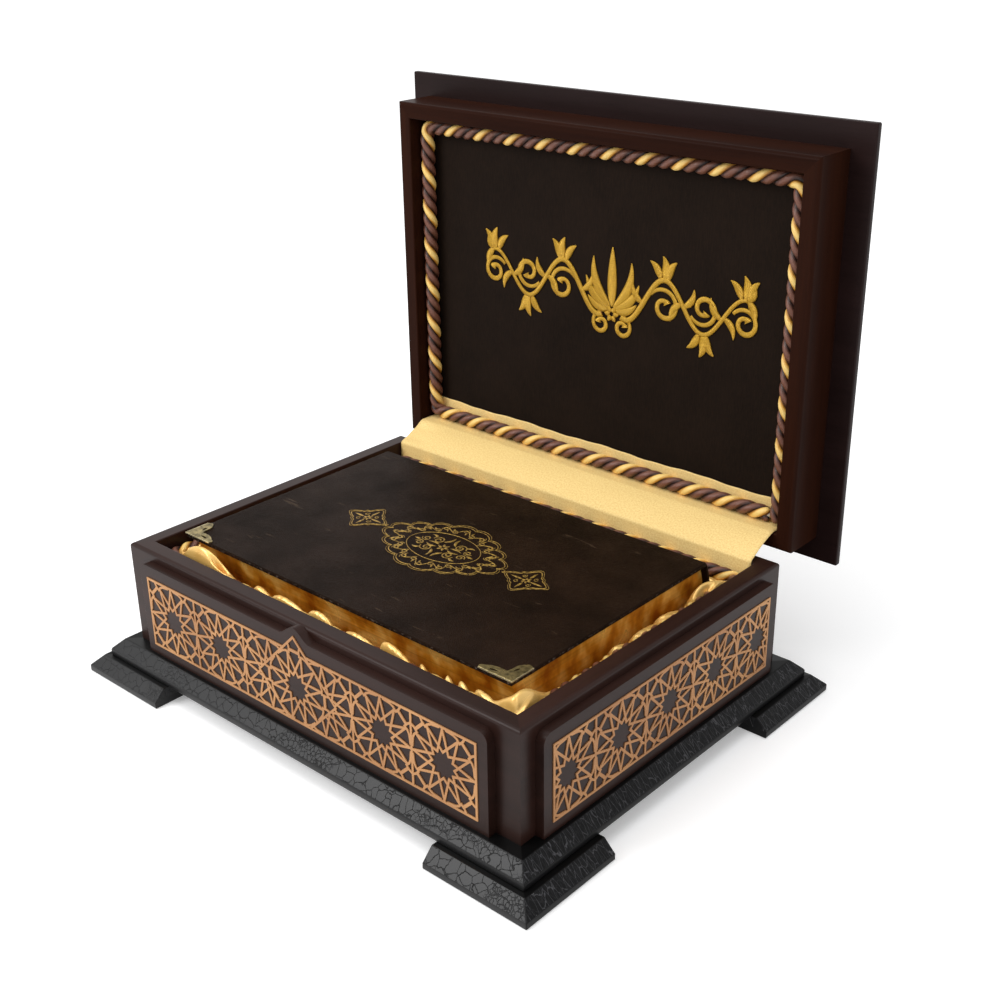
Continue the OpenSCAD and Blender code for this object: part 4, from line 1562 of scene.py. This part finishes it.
@dataclass
class CoverStamp:
    """Gold stamping on the upper cover: a lobed medallion, an oval in it and a pendant at each end."""

    plane: Plane = Plane((2, -21, COVER_Z), RIGHT, BACK)
    rise: float = 0.16
    outline: tuple[float, float] = (50.5, 33.5)
    oval: tuple[float, float] = (28, 18)
    lobes: int = 16
    notch: float = 0.1
    almond: float = 1.42
    ring_almond: float = 1.6
    bold: float = 0.75
    fine: float = 0.4

    def build(self) -> None:
        """Makes the stamping: outlines, scrolls in a ring between them, flowers in the oval and pendants."""
        work = Ornament(self.plane, self.rise)
        t = np.linspace(0, TURN, 400, endpoint=False)
        work.ring(bent(t, self.outline, self.lobes, self.notch, self.almond), self.bold)
        work.ring(bent(t, np.array(self.outline) + 2.0, self.lobes, self.notch, self.almond), self.fine)
        work.ring(bent(t, self.oval), 0.65)
        middle_ring = (np.array(self.outline) + np.array(self.oval)) / 2 * 0.97
        sway = 1 + 0.12 * np.sin(self.lobes * t)
        work.ring(sway[:, None] * bent(t, middle_ring, power=self.ring_almond), 0.8)
        for k in range(2 * self.lobes):
            angle = TURN * (k + 0.5) / (2 * self.lobes)
            turn = 1 if k % 2 else -1
            spot = bent(np.array([angle]), middle_ring * (1 - 0.075 * turn), power=self.ring_almond)[0]
            work.scroll(spot, 2.7, 0.7, angle + np.pi / 2 * (1 + turn), 1.2 * turn, 0.7)
            way = circle(angle)
            tip = spot + 4.6 * turn * way + 1.6 * turn * left_of(way)
            work.leaf(spot + 1.2 * turn * way, tip, 1.3, 0.2)
        work.rosette((0, 0), 4.5, 6, 1.7)
        for sx in (-1, 1):
            for sy in (-1, 1):
                work.scroll((9.5 * sx, 6.0 * sy), 4.6, 0.9, np.pi / 2 * (1 - sx), 1.5 * sx * sy, 1.0)
                work.scroll((18 * sx, 3.6 * sy), 3.4, 0.8, np.pi / 2 * (1 - sx), -1.4 * sx * sy, 0.9)
                work.leaf((5 * sx, 6 * sy), (2 * sx, 14.6 * sy), 1.9, 0.16 * sx * sy)
                work.leaf((13 * sx, 8 * sy), (18.5 * sx, 9.8 * sy), 1.8, 0.2 * sx * sy)
                work.leaf((5 * sx, 1.5 * sy), (14 * sx, 1.2 * sy), 1.5, 0.12 * sx * sy)
            work.leaf((20 * sx, 0), (25.5 * sx, 0), 1.8)
            self.pendant(work, sx)
        piece = Piece("gold_stamping", "book", "cover_leather", GoldStamp())
        piece.add(*work.surfaces(5)).write()

    def pendant(self, work: Ornament, way: int) -> None:
        """Adds a lozenge beyond one end of the medallion, joined to it by a small bead.

        Args:
            work: Ornament to add to.
            way: 1 for the right end, -1 for the left.
        """
        t = np.linspace(0, TURN, 120, endpoint=False)
        middle = np.array([70.0 * way, 0])
        swell = 1 + 0.19 * np.cos(4 * t) + 0.06 * np.cos(8 * t) + 0.02 * np.cos(16 * t)
        shape = swell[:, None] * (np.array([12.2, 11.0]) * circle(t))
        work.ring(middle + shape, self.bold)
        work.ring(middle + 1.13 * shape, self.fine)
        work.rosette(middle, 3.6, 6, 1.5)
        for side in (-1, 1):
            work.leaf(middle + (3.4 * side, 0), middle + (12.4 * side, 0), 1.6)
            work.leaf(middle + (0, 3.4 * side), middle + (0, 11.2 * side), 1.6)
            for up in (-1, 1):
                work.scroll(middle + (4.7 * side, 4.1 * up), 1.9, 0.6, np.pi / 2, 1.1 * side * up, 0.6)
        work.rosette((52.4 * way, 0), 1.9, 4, 1.3, np.pi / 4)


# Metal corners of the book


@dataclass
class PiercedCorners:
    """Thin metal corners on the fore edge of the upper cover: two lobes with a pierced drop in each.

    The top plate is a flat outline with two holes, given some thickness. Its two edges are bent down.
    """

    corner: tuple[float, float, float] = (142.0, -114.35, COVER_Z)
    long: float = 24.0
    short: float = 18.0
    thick: float = 0.6
    cover: float = 0.15
    eased: float = 0.12
    hole: float = 1.9

    def outline(self) -> np.ndarray:
        """Edge of the plate: from the corner by the long side, over both lobes and back by the short side.

        Returns:
            Points of the edge.
        """
        size = np.array([self.long, self.short])
        lobe_a = np.array([(1, 0), (1.02, 0.12), (0.9, 0.2), (0.78, 0.3), (0.6, 0.36), (0.37, 0.35)])
        lobe_b = np.array([(0.37, 0.35), (0.33, 0.55), (0.31, 0.81), (0.22, 0.97), (0.13, 1.06), (0, 1)])
        return np.concatenate([[[0, 0]], through(lobe_a * size), through(lobe_b * size)[1:]])

    def drop(self, blunt: Sequence[float], point: Sequence[float]) -> np.ndarray:
        """A teardrop hole: a narrow oval that is wide near its blunt end and ends in a point.

        Args:
            blunt: Blunt end, as shares of the long and the short side.
            point: Pointed end.

        Returns:
            Points of the hole.
        """
        size = np.array([self.long, self.short])
        t = np.linspace(0, 1, 14)
        half = self.hole / 2 * np.sin(np.pi * t ** 0.6)[1:-1, None]
        start, run = blunt * size, point * size - blunt * size
        aside = unit(left_of(run))
        middle = start + t[1:-1, None] * run
        return np.concatenate([[start], middle + half * aside, [start + run], (middle - half * aside)[::-1]])

    def plate(self) -> tuple[np.ndarray, list]:
        """Fills the outline around its holes and gives it thickness.

        Returns:
            Points of the plate in its own plane, with heights from its underside, and its faces.
        """
        curve = bpy.data.curves.new("plate", "CURVE")
        curve.dimensions = "2D"
        curve.fill_mode = "BOTH"
        curve.extrude = self.thick / 2
        curve.bevel_depth = self.eased
        holes = [self.drop((0.75, 0.13), (0.44, 0.19)), self.drop((0.21, 0.73), (0.26, 0.42))]
        for loop in (self.outline(), *holes):
            spline = curve.splines.new("POLY")
            spline.points.add(len(loop) - 1)
            spline.points.foreach_set("co", np.concatenate([loop, np.zeros((len(loop), 2))], 1).ravel())
            spline.use_cyclic_u = True
        carrier = bpy.data.objects.new("plate", curve)
        mesh = bpy.data.meshes.new_from_object(carrier)
        points = np.empty(len(mesh.vertices) * 3)
        mesh.vertices.foreach_get("co", points)
        faces = [list(face.vertices) for face in mesh.polygons]
        bpy.data.objects.remove(carrier)
        bpy.data.curves.remove(curve)
        bpy.data.meshes.remove(mesh)
        return points.reshape(-1, 3) + [0, 0, self.thick / 2], faces

    def edge(self, start: Sequence[float], end: Sequence[float],
             out: Sequence[float]) -> tuple[np.ndarray, list]:
        """A bent-down edge: a flat bar from start to end with a slightly scooped foot.

        Args:
            start: First end, in the plate's plane.
            end: Second end.
            out: Direction away from the cover.

        Returns:
            Points and faces of the bar.
        """
        t = np.linspace(0, 1, 15)[:, None]
        run = np.subtract(end, start)
        inner = np.asarray(start) + t * run
        outer = inner + self.thick * np.asarray(out)
        foot = -self.cover + 0.1 * np.abs(2 * t[:, 0] - 1) ** 3
        top = np.full(len(t), self.thick)
        corners = ((inner, top), (outer, top), (outer, foot), (inner, foot))
        rows = np.stack([np.column_stack(corner) for corner in corners], 1)
        turned = float(left_of(run) @ out) > 0
        made = lattice(rows, np.zeros((len(t), 5, 2)), (False, True), flip=turned, caps=True)
        return made.points, [face for group in made.faces for face in group.tolist()]

    def build(self) -> None:
        """Makes both corners, the left one mirrored, closes their seams and hides the plain ones."""
        along = self.edge((-self.thick, 0), (self.long, 0), (0, -1))
        beside = self.edge((0, 0.01), (0, self.short), (-1, 0))
        dull, rubbed = AntiqueBrass(Wear.DULL), AntiqueBrass(Wear.RUBBED)
        piece = Piece("pierced_corners", "book", "antique_brass", dull, rubbed)
        x, y, z = self.corner
        for way in (1, -1):
            for finish, (points, faces) in zip((0, 1, 1), (self.plate(), along, beside)):
                placed = np.array([way * x, y, z]) + points * [-way, 1, 1]
                groups = [np.array([face[::-way]]) for face in faces]
                flat = [np.zeros((1, group.shape[1], 2)) for group in groups]
                piece.add(Surface(placed, groups, flat, finish))
        made = piece.write("cover_corners")
        shell = bmesh.new()
        shell.from_mesh(made.data)
        bmesh.ops.remove_doubles(shell, verts=shell.verts, dist=SAME_PLACE)
        bmesh.ops.recalc_face_normals(shell, faces=shell.faces)
        shell.to_mesh(made.data)
        shell.free()
        made.data.polygons.foreach_set("use_smooth", np.zeros(len(made.data.polygons), bool))


# Sub-assemblies


@dataclass
class Stand:
    """Base board and feet, in grained black."""

    feet: tuple[str, ...] = ("foot_front_left", "foot_front_right", "foot_back_left", "foot_back_right")

    def dress(self, dresser: Dresser) -> None:
        """Finishes the boards."""
        dresser.dress(GrainedBlack(), "base_board", *self.feet, ease=0.8)


@dataclass
class Case:
    """Walls, raised panels, inlay, hinges and the soft pieces inside the case."""

    rope_z: float = 84.5
    bed_z: float = 49.0

    def dress(self, dresser: Dresser) -> None:
        """Finishes the wood, inlay and hinges.

        Args:
            dresser: What puts the finishes on.
        """
        across = LacqueredWood(Stain.BROWN, Grain.ACROSS)
        endwise = LacqueredWood(Stain.BROWN, Grain.ENDWISE)
        dresser.dress(across, "front_wall", "back_wall", "front_panel")
        dresser.dress(endwise, "left_wall", "right_wall", "left_panel", "right_panel")
        dresser.dress(CopperInlay(), "front_inlay", "left_inlay", "right_inlay", ease=0)
        dresser.dress(HingeBrass(), "case_leaf_left", "case_leaf_right", "hinge_pin_left", "hinge_pin_right",
                      "case_screws", ease=0.2)

    def build(self) -> None:
        """Makes the rope, the satin, the flap and the padded bed."""
        level = Plane((0, CASE_Y, self.rope_z), RIGHT, BACK)
        RopeTrim("case_rope_trim", "case_rope", "case", level, half=(152.1, 107.1), bend=5.4, strand_r=2.6,
                 lay_r=2.4).build()
        SatinSurround().build()
        HingeFlap().build()
        under = Plane((0, CASE_Y, self.bed_z), RIGHT, BACK)
        bed = Slab(under, half=(157.5, 112.5), thick=24.6, crown=2.8, round=5, wave=0.15)
        made = Piece("padded_bed", "case", "gold_satin", GoldSatin()).add(bed.surface()).write("book_bed")


@dataclass
class Lid:
    """Lid board, rails, lining and trim."""

    middle_z: float = 222.0
    lining_y: float = 140.0
    padding_y: float = 143.6
    rope_y: float = 133.55

    def dress(self, dresser: Dresser) -> None:
        """Finishes the wood and hinges.

        Args:
            dresser: What puts the finishes on.
        """
        dresser.dress(LacqueredWood(Stain.PLUM, Grain.ACROSS), "lid_board", ease=0.8)
        dresser.dress(LacqueredWood(Stain.RED, Grain.ACROSS), "lid_front_rail", "lid_back_rail")
        dresser.dress(LacqueredWood(Stain.RED, Grain.UPRIGHT), "lid_left_rail", "lid_right_rail")
        dresser.dress(HingeBrass(), "lid_leaf_left", "lid_leaf_right", "lid_screws", ease=0.2)

    def plane(self, y: float) -> Plane:
        """Gives an upright plane in the middle of the lid, at a depth, that faces the book."""
        return Plane((0, y, self.middle_z), RIGHT, UP)

    def build(self) -> None:
        """Makes the lining, its padding, the embroidery and the rope."""
        face = self.plane(self.lining_y)
        lining = Slab(face, half=(158.6, 113.6), thick=2.4, crown=0.35, round=1.0, wave=0.06)
        Piece("velvet_lining", "lid", "dark_velvet", DarkVelvet()).add(lining.surface()).write("lid_lining")
        behind = self.plane(self.padding_y)
        pad = Slab(behind, half=(158.3, 113.3), thick=10.9, crown=0.8, round=3, wave=0.1)
        padding = Piece("lid_wadding", "lid", "padding", Wadding()).add(pad.surface()).write("lid_padding")
        Embroidery().build()
        RopeTrim("lid_rope_trim", "lid_rope", "lid", self.plane(self.rope_y), half=(152.9, 107.9), bend=5.6,
                 strand_r=2.7, lay_r=2.5, cut=147.0).build()


@dataclass
class Book:
    """The bound book: hide covers and spine, gilt leaves, stamping and metal corners."""

    ease: float = 0.7

    def dress(self, dresser: Dresser) -> None:
        """Finishes the covers, spine and leaves. The upper cover has knobby edges with a painted highlight
        below its eased edge.

        Args:
            dresser: What puts the finishes on.
        """
        dresser.dress(CoverLeather((COVER_Z - self.ease) * MM), "upper_cover", ease=self.ease)
        dresser.dress(CoverLeather(), "lower_cover", "spine", ease=self.ease)
        dresser.dress(GiltLeaves(), "text_block", ease=0.15)

    def build(self) -> None:
        """Makes the stamping and the metal corners."""
        CoverStamp().build()
        PiercedCorners().build()


# Camera, floor and light


def set_in_place(made: bpy.types.Object, axes: Sequence[np.ndarray], place: Sequence[float]) -> None:
    """Turns a camera or lamp to three directions, sets it in its place and adds it to the scene.

    Args:
        made: The object.
        axes: Directions of its x, y and z.
        place: Its place in metres.
    """
    pose = np.eye(4)
    pose[:3] = np.column_stack([*axes, place])
    made.matrix_world = Matrix(pose.tolist())
    bpy.context.scene.collection.objects.link(made)


@dataclass
class Viewpoint:
    """Camera at the photograph's angle: place in metres, heading, tilt and roll in degrees."""

    place: tuple[float, float, float] = (0.5661, -0.59145, 0.4986)
    yaw: float = 42.06
    pitch: float = 24.40
    roll: float = -0.81
    lens: float = 50.33

    def build(self) -> None:
        """Makes the camera and gives it to the scene."""
        yaw, pitch, roll = np.radians([self.yaw, self.pitch, self.roll])
        back = np.array([np.sin(yaw) * np.cos(pitch), -np.cos(yaw) * np.cos(pitch), np.sin(pitch)])
        right = np.array([np.cos(yaw), np.sin(yaw), 0])
        up = np.cross(right, -back)
        across = np.cos(roll) * right + np.sin(roll) * up
        above = -np.sin(roll) * right + np.cos(roll) * up
        data = bpy.data.cameras.new("camera")
        data.lens = self.lens
        data.sensor_width = 36
        data.sensor_fit = "HORIZONTAL"
        data.clip_start = 0.01
        camera = bpy.data.objects.new("camera", data)
        set_in_place(camera, (across, above, back), self.place)
        bpy.context.scene.camera = camera


@dataclass
class Studio:
    """Pale floor, white surroundings and soft lamps."""

    floor_half: float = 14.0
    floor_drop: float = 0.2 * MM
    ambient: float = 0.55

    def build(self) -> None:
        """Makes the floor, the world and the lamps."""
        bpy.context.scene.view_settings.view_transform = "Standard"
        self.floor()
        self.world()
        self.lamp("key", (-0.92, -1.53, 1.32), aim=(0, -0.05, 0.1), size=1.1, power=26)
        self.lamp("top", (0.1, -0.2, 1.7), aim=(0, 0, 0.1), size=1.3, power=12)
        self.lamp("side", (1.5, -0.4, 0.9), aim=(0, 0, 0.15), size=0.9, power=3)

    def floor(self) -> None:
        """A wide pale sheet that keeps the object's shadow and looks white to the camera."""
        reach = np.linspace(-self.floor_half, self.floor_half, 3)
        flat = grid(reach, reach)
        patch = lattice(np.insert(flat, 2, -self.floor_drop, axis=-1), flat)
        mesh = bpy.data.meshes.new("floor")
        mesh.from_pydata(patch.points.tolist(), [], patch.faces[0].tolist())
        floor = bpy.data.objects.new("floor", mesh)
        bpy.context.scene.collection.objects.link(floor)
        sheet = NodeSheet("floor_paper")
        place = sheet.point("Object")
        tone = sheet.noise(place, 3, 2)
        colour = sheet.ramp(tone, (0.3, srgb(244, 244, 245)), (0.7, srgb(249, 249, 249)))
        sheet.shade(Base_Color=colour, Roughness=0.9, Specular_IOR_Level=0.0)
        away = sheet.span(sheet.vector("LENGTH", place, result="Value"), 0.2, 0.9, 0.25, 0.6)
        glow = sheet.number("MULTIPLY", away, self.seen(sheet.tree))
        sheet.shade(Emission_Color=(1, 1, 1, 1), Emission_Strength=glow)
        mesh.materials.append(sheet.material)

    def seen(self, tree: bpy.types.NodeTree) -> Socket:
        """Gives 1 to rays from the camera, from a reflection or through glass, and 0 to the rest.

        Args:
            tree: Node tree to add to.

        Returns:
            The switch.
        """
        rays = tree.nodes.new("ShaderNodeLightPath")
        switch = rays.outputs["Is Camera Ray"]
        for name in ("Is Glossy Ray", "Is Transmission Ray"):
            either = tree.nodes.new("ShaderNodeMath")
            either.operation = "MAXIMUM"
            tree.links.new(switch, either.inputs[0])
            tree.links.new(rays.outputs[name], either.inputs[1])
            switch = either.outputs[0]
        return switch

    def world(self) -> None:
        """White to the camera and in reflections, a plain soft level elsewhere."""
        world = bpy.data.worlds.new("surroundings")
        world.use_nodes = True
        tree = world.node_tree
        bpy.context.scene.world = world
        ground = next(n for n in tree.nodes if n.type == "BACKGROUND")
        level = tree.nodes.new("ShaderNodeMapRange")
        level.inputs["To Min"].default_value = self.ambient
        tree.links.new(self.seen(tree), level.inputs["Value"])
        tree.links.new(level.outputs["Result"], ground.inputs["Strength"])
        ground.inputs["Color"].default_value = (1, 1, 1, 1)

    def lamp(self, name: str, place: Sequence[float], aim: Sequence[float], size: float,
             power: float) -> None:
        """Hangs a square soft lamp.

        Args:
            name: Name of the lamp.
            place: Where it hangs, in metres.
            aim: What it points at.
            size: Side of its face in metres.
            power: Power in watts.
        """
        data = bpy.data.lights.new(name, "AREA")
        data.size = size
        data.energy = power
        back = unit(np.subtract(place, aim))
        right = unit(np.cross(UP, back))
        set_in_place(bpy.data.objects.new(name, data), (right, np.cross(back, right), back), place)


def main() -> None:
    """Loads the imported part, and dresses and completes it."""
    logging.basicConfig(level=logging.INFO, format="%(name)s: %(message)s")
    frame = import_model()
    Viewpoint().build()
    Studio().build()
    dresser = Dresser(frame["nodes"])
    Stand().dress(dresser)
    for part in (Case(), Lid(), Book()):
        part.dress(dresser)
        part.build()


if __name__ == "__main__":
    main()
